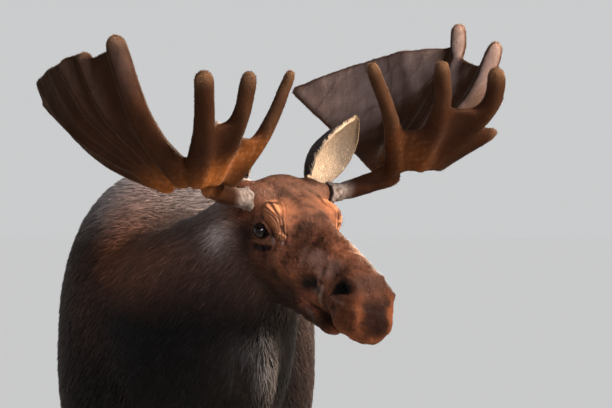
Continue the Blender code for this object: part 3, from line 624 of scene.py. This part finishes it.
def coat_colours(points, normals, weights):
    """The moose's markings, with painted shade and painted highlights, worked out at each point of the skin.
    """
    left, forward, up = in_head(points)
    across, along, tall = points.T
    broad, fine, grain = mottle(points, 0.16, 11), mottle(points, 0.045, 12), mottle(points, 0.014, 13)
    # the coat's own grizzled silver on the hump and top of the neck, made lighter by a painted sheen where
    # light falls on the top
    grizzle_and_sheen = smooth(tall, 1.66, 1.86) * smooth(along, 0.5, 0.1)
    patchy = 0.76 + 0.10 * fine + 0.10 * broad
    behind_ear = np.hypot(forward + 0.052, up + 0.13)
    layers = {
        "head": ("chestnut", face_layers(points, fine, grain)),
        "neck": ("neck", [
            ("warm", 0.30 + 0.14 * broad + 0.06 * fine + 0.75 * smooth(across, -0.15, -0.42)),
            ("chestnut", (0.45 + 0.2 * fine) * smooth(across, -0.20, -0.42)),
            ("pale", 0.95 * bell_curve(behind_ear, 0.045)),
            # the neck's own dark throat and chest, deepened to black by painted shade under the jaw and
            # round the head's joint
            ("black", smooth(tall, 1.70, 1.47) + 0.9 * smooth(np.hypot(forward, up + 0.03), 0.07, 0.03)),
            ("silver", 0.55 * grizzle_and_sheen * patchy),
        ]),
        "trunk": ("flank", [
            ("warm", 0.14 + 0.07 * broad + 0.05 * fine),
            # the dark chest: partly its own colour, partly painted shade low at the front
            ("black", 0.95 * smooth(tall, 1.62, 1.30) * smooth(along, 0.0, -0.5)),
            ("silver", 0.85 * grizzle_and_sheen * patchy),
            ("belly", 0.8 * smooth(normals[:, 2], -0.3, -0.9)),
        ]),
        "leg": ("flank", [("leg", smooth(tall, 0.95, 0.62))]),
        "shank": ("shank", []),
        "bell": ("bell", [
            ("silver", 0.06 + 0.05 * fine),
            # painted shade: black on the bell's top under the jaw, and darker low down
            ("black", smooth(tall, 1.40, 1.50) + 0.75 * smooth(tall, 1.34, 1.18)),
        ]),
        "tail": ("flank", []),
        "ear": ("ear_rim", [("ear_in", smooth(normals @ np.array([0.58, -0.80, 0.0]), 0.15, 0.5))]),
    }
    colour = sum(
        painted(plain(layers[name][0], points), layers[name][1]) * weights[:, [k]]
        for k, name in enumerate(REGION_NAMES)
    )
    on_head = smooth(weights[:, 0], 0.3, 0.6)
    ring = eye_coordinates(left, forward, up)[3]
    gap, lips = mouth_distance(forward, up)
    return painted(colour, [
        ("warm", 0.7 * bell_curve(ring - 1.75, 0.3) * on_head),
        ("lid", 0.92 * smooth(ring + 0.10 * fine + 0.06 * grain, 1.50, 1.02) * on_head),
        # painted shade: black inside the nostril's opening
        ("nostril", smooth(nostril_coordinates(left, forward, up), 1.2, 0.85) * on_head),
        # painted shade: a dark line where the lips meet
        ("dark", 0.85 * bell_curve(gap, 0.008) * lips * on_head),
    ]).clip(0.002, 1)


# ---- the lie of the coat

# The way the hair lies on each region but the head, where it lies back along the face
HAIR_LIE = {
    "neck": (-0.45, 0.62, -0.64), "trunk": (0.0, 0.86, -0.5), "leg": (0.0, 0.25, -0.97),
    "shank": (0.0, 0.12, -0.99), "bell": (0.0, 0.05, -1.0), "tail": (0.0, 0.35, -0.94),
    "ear": (0.0, 0.1, 1.0),
}


def coat_flow(points, normals, weights):
    """The way the hair lies: back along the head, then back and down, and down the legs."""
    ways = {"head": TURN[:, 1], **{name: np.array(way) for name, way in HAIR_LIE.items()}}
    ways["trunk"] = ways["trunk"] - smooth(points[:, 1], 0.25, -0.35)[:, None] * np.array([0.0, 0.0, 0.5])
    swirl = unit(np.stack([mottle(points, 0.3, seed) for seed in (21, 22, 23)], axis=1)) * 0.16
    flow = sum(ways[name] * weights[:, [k]] for k, name in enumerate(REGION_NAMES)) + swirl
    flow -= normals * (flow * normals).sum(1, keepdims=True)
    return unit(flow)


# ---- skin


def skin_values(points, weights, bare):
    """What the coat needs to know at each point of the skin."""
    left, forward, up = in_head(points)
    on_head = weights[:, 0]
    ring = eye_coordinates(left, forward, up)[3]
    folds = smooth(np.hypot(forward - 0.105, up + 0.035), 0.085, 0.060)
    near_eye = np.maximum(smooth(ring, 4.5, 1.5), folds) * on_head
    snout = smooth(forward, 0.30, 0.46) * on_head
    crown = smooth(up, 0.0, 0.05) * smooth(forward, 0.12, 0.03) * on_head
    jaw = smooth(up, -0.16, -0.21) * smooth(forward, 0.36, 0.2) * on_head
    values = {
        name: weights @ np.array([REGIONS[region][column] for region in REGION_NAMES])
        for column, name in ((1, "Rise"), (2, "Length"), (3, "Width"), (4, "Density"))
    }
    values["Length"] *= (1 - 0.45 * near_eye) * (1 - 0.3 * snout) * (1 + 0.15 * crown) * (1 + 1.4 * jaw)
    values["Rise"] *= (1 - 0.75 * near_eye) * (1 - 0.4 * snout)
    values["Width"] *= (1 - 0.35 * near_eye) * (1 - 0.1 * snout)
    values["Density"] *= smooth(ring, 1.45, 1.75) * smooth(nostril_coordinates(left, forward, up), 0.85, 1.1)
    values["Density"] *= (1 + 0.5 * near_eye) * ~bare
    return values


def build_skin():
    parts, clouds = [], []
    for region in REGION_NAMES[:-1]:
        solids = [rounded(name) for name in REGIONS[region][0]]
        parts += solids
        clouds.append(np.concatenate([solid[0] for solid in solids]))
    mesh = remeshed(parts, SKIN_VOXEL)

    def on_head(centres):
        left, forward, up = in_head(centres)
        return (forward > -0.03) & (np.abs(left) < 0.17) & (up > -0.27) & (up < 0.2)

    def worked_parts(centres):
        left, forward, up = in_head(centres)
        low_rear = (forward < 0.22) & (up < -0.14)
        middle = (np.abs(left) < 0.045) & (forward < 0.43) & (up > 0.0)
        under = (np.abs(left) < 0.03) & (forward < 0.46) & (up < -0.14)
        return on_head(centres) & (forward > 0.03) & ~low_rear & ~middle & ~under

    def round_eyes(centres):
        left, forward, up = in_head(centres)
        to_eye = np.hypot(forward - 0.100, up + 0.045) + 10 * (np.abs(left) < 0.05)
        return (to_eye < 0.068) & on_head(centres)

    for wanted in (on_head, worked_parts, round_eyes):
        split_faces(mesh, wanted)
    ears = [rounded(name, crease=math.radians(75)) for name in REGIONS["ear"][0]]
    body = joined(mesh, ears + lid_rings())
    points = mesh_array(mesh.vertices, "co", 3)
    edges = mesh_array(mesh.edges, "vertices", 2, np.int32)
    labels = np.zeros(len(points), int)
    labels[:body] = nearest_label(points[:body], clouds)
    ear_end = body + sum(len(ear[0]) for ear in ears)
    labels[body:ear_end] = REGION_NAMES.index("ear")
    weights = blurred(np.eye(len(REGION_NAMES))[labels], edges, BLEND)
    bare = np.arange(len(points)) >= ear_end
    points[:body] = blurred(points, edges, EVEN)[:body]
    normals = move_points(mesh, points)
    depth = weights @ np.array([REGIONS[region][1] for region in REGION_NAMES])
    points -= normals * (depth * ~bare)[:, None]
    sculpted = sculpt_head(points, normals)
    strength = smooth(weights[:, 0], 0.3, 0.8) * (np.arange(len(points)) < body)
    points += (sculpted - points) * strength[:, None]
    normals = move_points(mesh, points)
    colour = coat_colours(points, normals, weights)
    colour[bare] = 0.6 * COLOURS["lid"] + 0.4 * COLOURS["dark"]
    keep_values(mesh, "Coat", colour, "FLOAT_COLOR")
    flow = blurred(coat_flow(points, normals, weights), edges, COMB)
    keep_values(mesh, "Flow", unit(flow), "FLOAT_VECTOR")
    keep_values(mesh, "Region", np.argmax(weights, axis=1).astype(float))
    for name, values in skin_values(points, weights, bare).items():
        keep_values(mesh, name, values)
    hide = new_material(
        "Moose hide under short hair",  # dull, with the grain of hair roots
        {"Roughness": 0.62, "Specular IOR Level": 0.1},
        bumps=((9.0, 1.2), (2.2, 0.7)),
    )
    nodes = [name for region in REGION_NAMES for name in REGIONS[region][0]]
    finish_piece("skin", mesh, hide, nodes)


# ---- locks of hair

# A lock: two root corners, three across its widest part, and its tip
LOCK_TRIS = np.array([(0, 1, 3), (0, 3, 2), (1, 4, 3), (2, 3, 5), (3, 4, 5)])
LOCK_PATCH = np.array([(-0.4, -0.5), (0.4, -0.5), (-0.5, 0.0), (0.0, 0.05), (0.5, 0.0), (0.0, 0.5)])
PATCH_SIZE = 0.003  # of one lock on the map
LOCK_SHADE = np.array([0.72, 0.72, 0.95, 1.05, 0.95, 1.25])  # darker roots, lighter tips
LOCK_ROOT = 0.001  # how deep a lock's root sits in the skin
LASHES, LASH_LENGTH, LASH_WIDTH, LASH_RISE = 40, 0.027, 0.0011, 0.002  # on each lid
MAP_MARGIN = 0.01


def lock_points(root, normal, flow, length, width, rise, rng, stray=0.2):
    """Six points for each lock: thin, lying along the flow, its middle ridge raised."""
    count = len(root)
    turn = rng.normal(0, stray, count)[:, None]
    across = np.cross(normal, flow)
    along = unit(flow * np.cos(turn) + across * np.sin(turn))
    roll = rng.normal(0, 0.25, count)[:, None]
    across = unit(np.cross(normal, along) + normal * roll)
    length = (length * rng.uniform(0.7, 1.25, count))[:, None]
    width = (width * rng.uniform(0.7, 1.3, count))[:, None]
    rise = (rise * rng.uniform(0.35, 1.15, count))[:, None]
    base = root - normal * LOCK_ROOT
    middle = root + along * length * 0.45 + normal * rise * 0.75
    bend = rng.normal(0, 0.06, count)[:, None]
    tip = root + along * length + normal * rise + across * length * bend
    return np.stack([
        base - across * width * 0.3, base + across * width * 0.3,
        middle - across * width * 0.5, middle + normal * width * 0.22, middle + across * width * 0.5,
        tip,
    ], axis=1)


def chart_places(points, axes):
    """Each root's place on the skin unrolled round its own axis: turn across, length upward."""
    across, along, reach = [], [], []
    for origin, axis, up in axes:
        origin, axis, up = np.array(origin), unit(np.array(axis, float)), np.array(up, float)
        offset = points - origin
        on_axis = offset @ axis
        flat = offset - on_axis[:, None] * axis
        up = unit(up - axis * (up @ axis))
        across.append(np.arctan2(flat @ np.cross(axis, up), flat @ up) / (2 * np.pi) + 0.5)
        along.append(on_axis)
        reach.append(np.linalg.norm(flat, axis=1))
    cell = np.argmin(reach, axis=0)
    pick = np.arange(len(points))
    along = np.array(along)[cell, pick]
    for number in range(len(axes)):
        own = cell == number
        if own.any():
            along[own] = (along[own] - along[own].min()) / max(np.ptp(along[own]), 1e-6)
    return (cell + np.array(across)[cell, pick]) / len(axes), along


def lock_mesh(name, points, colours, across, along):
    """The mesh of one piece of coat, with its OFBake map and its colours."""
    count = len(points)
    tris = (LOCK_TRIS[None] + 6 * np.arange(count)[:, None, None]).reshape(-1, 3)
    mesh = mesh_of(name, points.reshape(-1, 3), tris)
    keep_values(mesh, "Coat", colours.reshape(-1, 3), "FLOAT_COLOR")
    across = (across - across.min()) / max(np.ptp(across), 1e-6)
    centre = MAP_MARGIN + (1 - 2 * MAP_MARGIN) * np.stack([across, along], axis=1)
    spots = centre[:, None] + LOCK_PATCH * PATCH_SIZE
    layer = mesh.uv_layers.new(name="OFBake")
    corners = mesh_array(mesh.loops, "vertex_index", 1, np.int32).ravel()
    layer.data.foreach_set("uv", spots.reshape(-1, 2)[corners].astype(np.float32).ravel())
    return mesh


def lock_colours(colour, rng, pale=0.07, spread=0.18):
    """Darker roots, lighter tips, each lock a little its own, and a few pale guard hairs."""
    count = len(colour)
    own = colour * np.exp(rng.normal(0, spread, count))[:, None]
    pale_ones = rng.random(count) < pale
    own[pale_ones] = own[pale_ones] * 1.6 + 0.005
    return (own[:, None] * LOCK_SHADE[:, None]).clip(0.001, 1)


def scatter(mesh, regions, thick, rng):
    """Roots spread over those regions of a skin, with all that the skin says there."""
    thick *= 1.0
    points, tris = triangles_of(mesh)
    corner = points[tris]
    area = np.linalg.norm(np.cross(corner[:, 1] - corner[:, 0], corner[:, 2] - corner[:, 0]), axis=1) / 2
    density = read_values(mesh, "Density")[tris, 0].mean(1)
    if regions:
        home = np.median(read_values(mesh, "Region")[tris, 0], axis=1).round()
        density = density * np.isin(home, [REGION_NAMES.index(region) for region in regions])
    total = np.cumsum(area * density * thick)
    count = int(total[-1])
    spots = (np.arange(count) + rng.random(count)) * total[-1] / count
    chosen = np.searchsorted(total, spots).clip(0, len(tris) - 1)
    a, b = np.sqrt(rng.random(count)), rng.random(count)
    share = np.stack([1 - a, a * (1 - b), a * b], axis=1)
    found = {"Point": points, "Normal": mesh_array(mesh.vertex_normals, "vector", 3)}
    for name in ("Coat", "Flow", "Length", "Width", "Rise"):
        found[name] = read_values(mesh, name)
    return {name: np.einsum("nc,nck->nk", share, values[tris[chosen]]) for name, values in found.items()}


def grown(at, rng, stray, longer=1.0):
    """The points of a lock at each of those roots."""
    return lock_points(
        at["Point"], unit(at["Normal"]), unit(at["Flow"]), at["Length"][:, 0] * longer,
        at["Width"][:, 0], at["Rise"][:, 0], rng, stray,
    )


def head_axis():
    """A line along the head, and the way up from it."""
    return out_of_head(0.0, 0.0, -0.07), -TURN[:, 1], TURN[:, 2]


def upright_axes(*nodes):
    return [(sum(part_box(name), Vector()) / 2, (0, 0, 1), (0, 1, 0)) for name in nodes]


def grow_coat(settings):
    """Every piece of the coat, each under 200,000 triangles, laid over the skin by its flow."""
    skin = bpy.data.objects["skin"].data
    body_axis = ((BODY_MIDDLE, 0.0, 1.35), (0, 1, 0), (0, 0, 1))
    groups = {
        "head": (["head"], [head_axis()]),
        "neck": (["neck"], [body_axis]),
        "trunk": (["trunk"], [body_axis]),
        "legs": (["leg", "shank"], upright_axes(*[f"leg_{name}" for name in LEG_NAMES])),
        "bell_and_tail": (["bell", "tail"], upright_axes("bell", "tail")),
        "ears": (["ear"], upright_axes("ear_left", "ear_right")),
    }
    hair = new_material(
        "Coarse hollow guard hair",  # soft gloss along each lock
        {"Roughness": 0.45, "Specular IOR Level": 0.11, "Sheen Weight": 0.02, "Sheen Roughness": 0.4},
    )
    for seed, (name, (regions, axes)) in enumerate(groups.items(), COAT_SEED):
        rng = np.random.default_rng(seed)
        at = scatter(skin, regions, settings.coat_density, rng)
        points = grown(at, rng, 0.13, settings.coat_length)
        colours = lock_colours(at["Coat"], rng, pale=0.05 if name == "head" else 0.09)
        across, along = chart_places(at["Point"], axes)
        order = np.argsort(across)
        pieces = np.array_split(order, max(1, math.ceil(len(order) / PIECE_LOCKS)))
        for number, part in enumerate(pieces, 1):
            title = f"coat_{name}_{number}" if len(pieces) > 1 else f"coat_{name}"
            mesh = lock_mesh(title, points[part], colours[part], across[part], along[part])
            finish_piece(title, mesh, hair)


def grow_lashes():
    """Long dark lashes along each upper lid."""
    rng = np.random.default_rng(LASH_SEED)
    roots, ways = [], []
    for _, sign in SIDES:
        for turn in np.linspace(math.radians(10), math.radians(170), LASHES):
            along, across = LID_LONG * math.cos(turn), LID_HIGH * math.sin(turn)
            lid = math.sqrt(EYE_RADIUS**2 - along**2 - across**2) + 0.003
            roots.append(from_eye(sign, along, across, lid))
            ways.append(from_eye(sign, along * 1.8, across * 1.7 - 0.003, lid + 0.022) - roots[-1])
    roots, ways = np.array(roots), unit(np.array(ways))
    rise = unit(np.array([0.0, 0.0, 1.0]) - ways * ways[:, [2]])
    sizes = (np.full(len(roots), size) for size in (LASH_LENGTH, LASH_WIDTH, LASH_RISE))
    points = lock_points(roots, rise, ways, *sizes, rng, stray=0.12)
    colours = np.tile(COLOURS["lid"], (len(roots), 6, 1))
    across, along = chart_places(roots, [head_axis()])
    mesh = lock_mesh("lashes", points, colours, across, along)
    finish_piece("lashes", mesh, new_material("Lash hair", {"Roughness": 0.4}))


# ---- antlers in velvet

BURR_SIDE = 0.122  # each burr's middle, from the head's
PALM_FOOT = 0.226  # from the burr's middle to where the palms start
VELVET_BLUR, RIM_BLUR = 14, 40  # rounds that even the surface, and that find its rims
ANTLER_PAINTED_LIGHT = {"left": (0.20, 0.75, 0.35), "right": (0.80, 0.15, 1.0)}  # strengths of the amber glow, mauve sheen and gold highlights painted on each antler, which differ with how the light falls on it
FUZZ_LENGTH, FUZZ_WIDTH, FUZZ_RISE, FUZZ_DENSITY = 0.0058, 0.0013, 0.0008, 30000
RIM_PAINTED_LIGHT = 500  # how much paler the plush is painted where it stands up along the rims, as rim light


def build_antler(side, sign, settings):
    amber, mauve, gold = ANTLER_PAINTED_LIGHT[side]
    nodes = [f"antler_{part}_{side}" for part in ("beam", "brow_palm", "main_palm")]
    mesh = remeshed([rounded(name) for name in nodes], ANTLER_VOXEL)
    edges = mesh_array(mesh.edges, "vertices", 2, np.int32)
    points = blurred(mesh_array(mesh.vertices, "co", 3), edges, VELVET_BLUR)
    normals = move_points(mesh, points)
    raised = ((points - blurred(points, edges, RIM_BLUR)) * normals).sum(1)
    rim = blurred(smooth(raised, 0.0038, 0.0080)[:, None], edges, 2)[:, 0]
    left, forward, up = in_head(points)
    burr = smooth(np.abs(np.abs(left) - BURR_SIDE), 0.066, 0.024)
    burr *= smooth(np.hypot(forward, up - 0.03), 0.13, 0.08)
    lump = mottle(points, 0.017, 31)
    push = -0.002 + 0.0018 * burr * lump + 0.0004 * mottle(points, 0.05, 32)
    # blood vessels branch out from the burr under the plush
    from_burr = points - out_of_head(sign * BURR_SIDE, 0.0, 0.05)
    out = np.linalg.norm(from_burr, axis=1)
    vein = smooth(np.abs(mottle(unit(from_burr) * 0.42 + 0.14 * points, 0.075, 41)), 0.13, 0.0)
    vein *= smooth(out, 0.06, 0.14) * (1 - rim)
    push += 0.0007 * vein
    points = points + normals * push[:, None]
    normals = move_points(mesh, points)
    speckle = 0.72 + 0.28 * smooth(mottle(points, 0.022, 47), -0.9, 0.9)
    sheen_patches = 0.88 + 0.10 * mottle(points, 0.060, 50) + 0.08 * mottle(points, 0.012, 54)
    toward = smooth(-normals[:, 1], 0.45, 0.8) * smooth(out, 0.25, 0.4) * smooth(forward, 0.05, -0.03)
    gold = gold * bell_curve(out - PALM_FOOT, 0.060) * smooth(up, 0.30, 0.17)
    colour = painted(plain("velvet", points), [
        # a little amber through the velvet everywhere, then a painted amber glow where light falls on the
        # foot of the palms
        ("amber", 0.05 + 0.010 * mottle(points, 0.06, 45) + 0.006 * mottle(points, 0.012, 46)
         + amber * bell_curve(out - PALM_FOOT, 0.050) * smooth(up, 0.27, 0.15) * speckle),
        # painted sheen: a pale mauve cast on the faces turned toward the camera
        ("mauve", mauve * toward * sheen_patches),
        # painted highlights: gold spots at the foot of the palms
        ("rim", 0.28 * gold * smooth(mottle(points, 0.010, 49), 0.2, 1.3)),
        ("vein", 0.22 * vein),
        ("burr", burr * (0.62 + 0.22 * lump + 0.16 * mottle(points, 0.008, 48))),
        # painted rim light: paler along the raised edges
        ("rim", 0.20 * rim * (1 - burr)),
    ])
    keep_values(mesh, "Coat", colour.clip(0.002, 1), "FLOAT_COLOR")
    ruffle = np.stack([mottle(points, 0.05, seed) for seed in (51, 52, 53)], axis=1)
    way = unit(points - out_of_head(sign * BURR_SIDE, 0.0, 0.0)) + 0.5 * ruffle
    way -= normals * (way * normals).sum(1, keepdims=True)
    keep_values(mesh, "Flow", unit(way), "FLOAT_VECTOR")
    keep_values(mesh, "Length", np.full(len(points), FUZZ_LENGTH) * settings.velvet_length)
    keep_values(mesh, "Width", np.full(len(points), FUZZ_WIDTH))
    keep_values(mesh, "Rise", FUZZ_RISE + 0.0022 * rim)
    keep_values(mesh, "Density", FUZZ_DENSITY * (1 + 0.9 * rim) * (1 - 0.7 * burr))
    velvet = new_material(
        "Velvet skin",  # short plush that lights up at its edges
        {"Roughness": 0.75, "Specular IOR Level": 0.08, "Sheen Weight": 0.30, "Sheen Roughness": 0.13,
         "Sheen Tint": rgba("#E8C8A8")},
        bumps=((6.0, 1.0), (1.6, 0.6)),
    )
    finish_piece(f"antler_{side}", mesh, velvet, nodes)
    rng = np.random.default_rng(FUZZ_SEED + int(sign))
    at = scatter(mesh, None, 1.0, rng)
    fuzz = grown(at, rng, 0.35)
    # painted rim light: the plush paler where it stands up along the rims
    edge = 1 + RIM_PAINTED_LIGHT * (at["Rise"] - FUZZ_RISE)
    colours = lock_colours(at["Coat"] * edge, rng, pale=0.06, spread=0.15)
    low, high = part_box(nodes[2])
    across, along = chart_places(at["Point"], [((low + high) / 2, (sign, 0.0, 0.4), (0, 0, 1))])
    mesh = lock_mesh(f"fuzz_{side}", fuzz, colours, across, along)
    finish_piece(f"fuzz_{side}", mesh, velvet)


# ---- eyes and hooves

EYE_GRID = (64, 40)  # faces round the ball, and from pole to pole
CORNEA = 0.0012  # its bulge out of the ball
PUPIL = (0.0072, 0.0042)  # half its length and height


def build_eye(side, sign):
    work = bmesh.new()
    bmesh.ops.create_uvsphere(work, u_segments=EYE_GRID[0], v_segments=EYE_GRID[1], radius=EYE_RADIUS)
    mesh = bpy.data.meshes.new(f"eyeball_{side}")
    work.to_mesh(mesh)
    work.free()
    along, high, out = mesh_array(mesh.vertices, "co", 3).T  # the ball's own pole looks out of the head
    look = out / EYE_RADIUS
    points = from_eye(sign, along, high, out + CORNEA * smooth(look, 0.78, 1.0))
    mesh.vertices.foreach_set("co", points.ravel())
    if sign > 0:
        mesh.flip_normals()
    mesh.update()
    pupil = np.hypot(along / PUPIL[0], high / PUPIL[1])
    colour = painted(plain("eyeball", points), [
        ("iris", smooth(look, 0.70, 0.80)),
        ("pupil", smooth(pupil, 1.1, 0.9) * (look > 0)),
    ])
    keep_values(mesh, "Coat", colour, "FLOAT_COLOR")
    wet = new_material(
        "Wet eye",  # tears make it mirror the light
        {"Roughness": 0.04, "Specular IOR Level": 0.26},
    )
    finish_piece(f"eyeball_{side}", mesh, wet, [f"eye_{side}"])


def build_hooves(leg):
    nodes = [f"{part}_{leg}_{place}" for part in ("hoof", "dewclaw") for place in ("inner", "outer")]
    points, tris = merged([rounded(name, crease=math.radians(40)) for name in nodes])
    points[:, 2] = points[:, 2].clip(0.0)
    horn = new_material(
        "Hoof horn",  # worn keratin with faint growth rings
        {"Base Color": rgba("#2A2420"), "Roughness": 0.45, "Specular IOR Level": 0.45},
        bumps=((12.0, 0.6), (1.5, 0.2)),
    )
    finish_piece(f"hooves_{leg}", mesh_of(f"hooves_{leg}", points, tris), horn, nodes)


# ---- stage

CAMERA_OFFSET = Vector((0.048, -16.0, -0.027))  # from the head's own middle
LENS, SENSOR = 362.35, 36.0  # in mm
FLOOR_REACH = 300.0
FLOOR_LEVEL = -0.001  # just under the feet
AIM = Vector((BODY_MIDDLE, 0.0, 1.4))  # what the lamps point at
SPREAD = math.radians(80)
STUDIO_WALL = "#F4F5F6"
GLOW = (4.0, 20.0, 0.0, 0.52)  # the floor's, from so near to so far, from so weak to so strong
SKY = (0.04, 0.35, 1.1, 0.5)  # the sky's, by height in the same way
# Name, place, size in metres, watts and colour
LIGHTS = (
    ("key", (9.0, -5.0, 7.0), 2.0, 600, "#FFEEDC"),
    ("rim", (4.0, 7.5, 5.5), 2.5, 390, "#FFE2C4"),
    ("fill", (3.0, -11.0, 4.9), 2.2, 135, "#E4ECFF"),
)


def area_light(name, place, size, power, colour):
    lamp = bpy.data.lights.new(name, "AREA")
    lamp.shape, lamp.size, lamp.energy, lamp.color = "DISK", size, power, linear(colour)
    lamp.spread = SPREAD
    made = bpy.data.objects.new(name, lamp)
    made.location = Vector(place)
    made.rotation_euler = (AIM - made.location).to_track_quat("-Z", "Y").to_euler()
    bpy.context.scene.collection.objects.link(made)


def eased(tree, value, start, end, low, high):
    """A node's value led smoothly from low to high as it goes from start to end."""
    ranges = {"Value": value, "From Min": start, "From Max": end, "To Min": low, "To Max": high}
    return add_node(tree, "ShaderNodeMapRange", ranges, interpolation_type="SMOOTHSTEP").outputs["Result"]


def build_stage(settings):
    scene = bpy.context.scene
    corners = np.array([(-1, -1), (1, -1), (1, 1), (-1, 1)]) * FLOOR_REACH
    corners = np.insert(corners, 2, FLOOR_LEVEL, axis=1)
    floor = place_object("floor", mesh_of("floor", corners, np.array([(0, 1, 2), (0, 2, 3)])))
    matt = new_material("Pale matt sweep", {
        "Base Color": rgba("#A3A19E"), "Roughness": 0.9, "Specular IOR Level": 0.1,
        "Emission Color": rgba(STUDIO_WALL),
    })
    tree = matt.node_tree  # far off, the floor glows softly into the pale wall of the studio
    place = add_node(tree, "ShaderNodeTexCoord").outputs["Object"]
    away = add_node(tree, "ShaderNodeVectorMath", {0: place}, operation="LENGTH").outputs["Value"]
    glow = eased(tree, away, *GLOW)
    tree.links.new(glow, tree.nodes["Principled BSDF"].inputs["Emission Strength"])
    floor.data.materials.append(matt)
    world = bpy.data.worlds.new("Studio")
    world.use_nodes = True
    tree = world.node_tree  # pale round the walls, dimmer overhead
    tree.nodes.clear()
    way = add_node(tree, "ShaderNodeTexCoord").outputs["Generated"]
    height = add_node(tree, "ShaderNodeSeparateXYZ", {"Vector": way}).outputs["Z"]
    level = eased(tree, height, *SKY[:2], *[strength * settings.sky_strength for strength in SKY[2:]])
    back = add_node(tree, "ShaderNodeBackground", {"Color": rgba(STUDIO_WALL), "Strength": level})
    add_node(tree, "ShaderNodeOutputWorld", {"Surface": back.outputs["Background"]})
    scene.world = world
    for name, place, size, power, colour in LIGHTS:
        area_light(name, place, size, power * settings.light_strength, colour)
    lens = bpy.data.cameras.new("camera")
    lens.lens, lens.sensor_width, lens.clip_start, lens.clip_end = LENS, SENSOR, 0.5, 600.0
    camera = bpy.data.objects.new("camera", lens)
    camera.location = HEAD_ORIGIN + CAMERA_OFFSET
    camera.rotation_euler = (math.radians(90), 0, 0)
    scene.collection.objects.link(camera)
    scene.camera = camera
    scene.view_settings.view_transform = "Standard"


# ---- add-on


class MooseSettings(bpy.types.PropertyGroup):
    coat_length: FloatProperty(
        name="Coat length", description="Length of the coat's locks against summer's",
        default=1.0, unit="NONE")
    coat_density: FloatProperty(
        name="Coat density", description="Number of locks against the usual",
        default=1.0, unit="NONE")
    velvet_length: FloatProperty(
        name="Velvet length", description="Length of the velvet's plush against the usual",
        default=1.0, unit="NONE")
    sky_strength: FloatProperty(
        name="Sky", description="Strength of the light from all round",
        default=0.6, unit="NONE")
    light_strength: FloatProperty(
        name="Lights", description="Strength of the studio lights",
        default=1.0, unit="NONE")


class MooseStep:
    """What the operators share: each runs build and raises if it fails."""

    bl_options = {"REGISTER", "UNDO"}

    def execute(self, context):
        self.build(context.scene.moose)
        return {"FINISHED"}


class MOOSE_OT_skin(MooseStep, bpy.types.Operator):
    """One skin over head, neck, trunk, legs, ears, bell and tail"""

    bl_idname = "moose.skin"
    bl_label = "Build the skin"

    def build(self, settings):
        build_skin()


class MOOSE_OT_coat(MooseStep, bpy.types.Operator):
    """The locks of the coat and the lashes, over the skin"""

    bl_idname = "moose.coat"
    bl_label = "Grow the coat"

    def build(self, settings):
        grow_coat(settings)
        grow_lashes()


class MOOSE_OT_antlers(MooseStep, bpy.types.Operator):
    """Both antlers in velvet, with their plush"""

    bl_idname = "moose.antlers"
    bl_label = "Build the antlers"

    def build(self, settings):
        for side, sign in SIDES:
            build_antler(side, sign, settings)


class MOOSE_OT_eyes(MooseStep, bpy.types.Operator):
    """Both eyeballs"""

    bl_idname = "moose.eyes"
    bl_label = "Build the eyes"

    def build(self, settings):
        for side, sign in SIDES:
            build_eye(side, sign)


class MOOSE_OT_hooves(MooseStep, bpy.types.Operator):
    """Hooves and dewclaws of the four feet"""

    bl_idname = "moose.hooves"
    bl_label = "Build the hooves"

    def build(self, settings):
        for leg in LEG_NAMES:
            build_hooves(leg)


class MOOSE_OT_stage(MooseStep, bpy.types.Operator):
    """Floor, lights and camera"""

    bl_idname = "moose.stage"
    bl_label = "Set the stage"

    def build(self, settings):
        build_stage(settings)


STEPS = (MOOSE_OT_skin, MOOSE_OT_coat, MOOSE_OT_antlers, MOOSE_OT_eyes, MOOSE_OT_hooves, MOOSE_OT_stage)


class MOOSE_PT_panel(bpy.types.Panel):
    """The steps in order, and what they can vary"""

    bl_label = "Bull Moose"
    bl_idname = "MOOSE_PT_panel"
    bl_space_type = "VIEW_3D"
    bl_region_type = "UI"
    bl_category = "Moose"

    def draw(self, context):
        for name in MooseSettings.__annotations__:
            self.layout.prop(context.scene.moose, name)
        for step in STEPS:
            self.layout.operator(step.bl_idname)


CLASSES = (MooseSettings, *STEPS, MOOSE_PT_panel)


def register():
    for made in CLASSES:
        bpy.utils.register_class(made)
    bpy.types.Scene.moose = PointerProperty(type=MooseSettings)


def unregister():
    del bpy.types.Scene.moose
    for made in reversed(CLASSES):
        bpy.utils.unregister_class(made)


def main():
    register()
    bpy.ops.moose.stage()
    bpy.ops.moose.skin()
    bpy.ops.moose.coat()
    bpy.ops.moose.antlers()
    bpy.ops.moose.eyes()
    bpy.ops.moose.hooves()


if __name__ == "__main__":
    main()
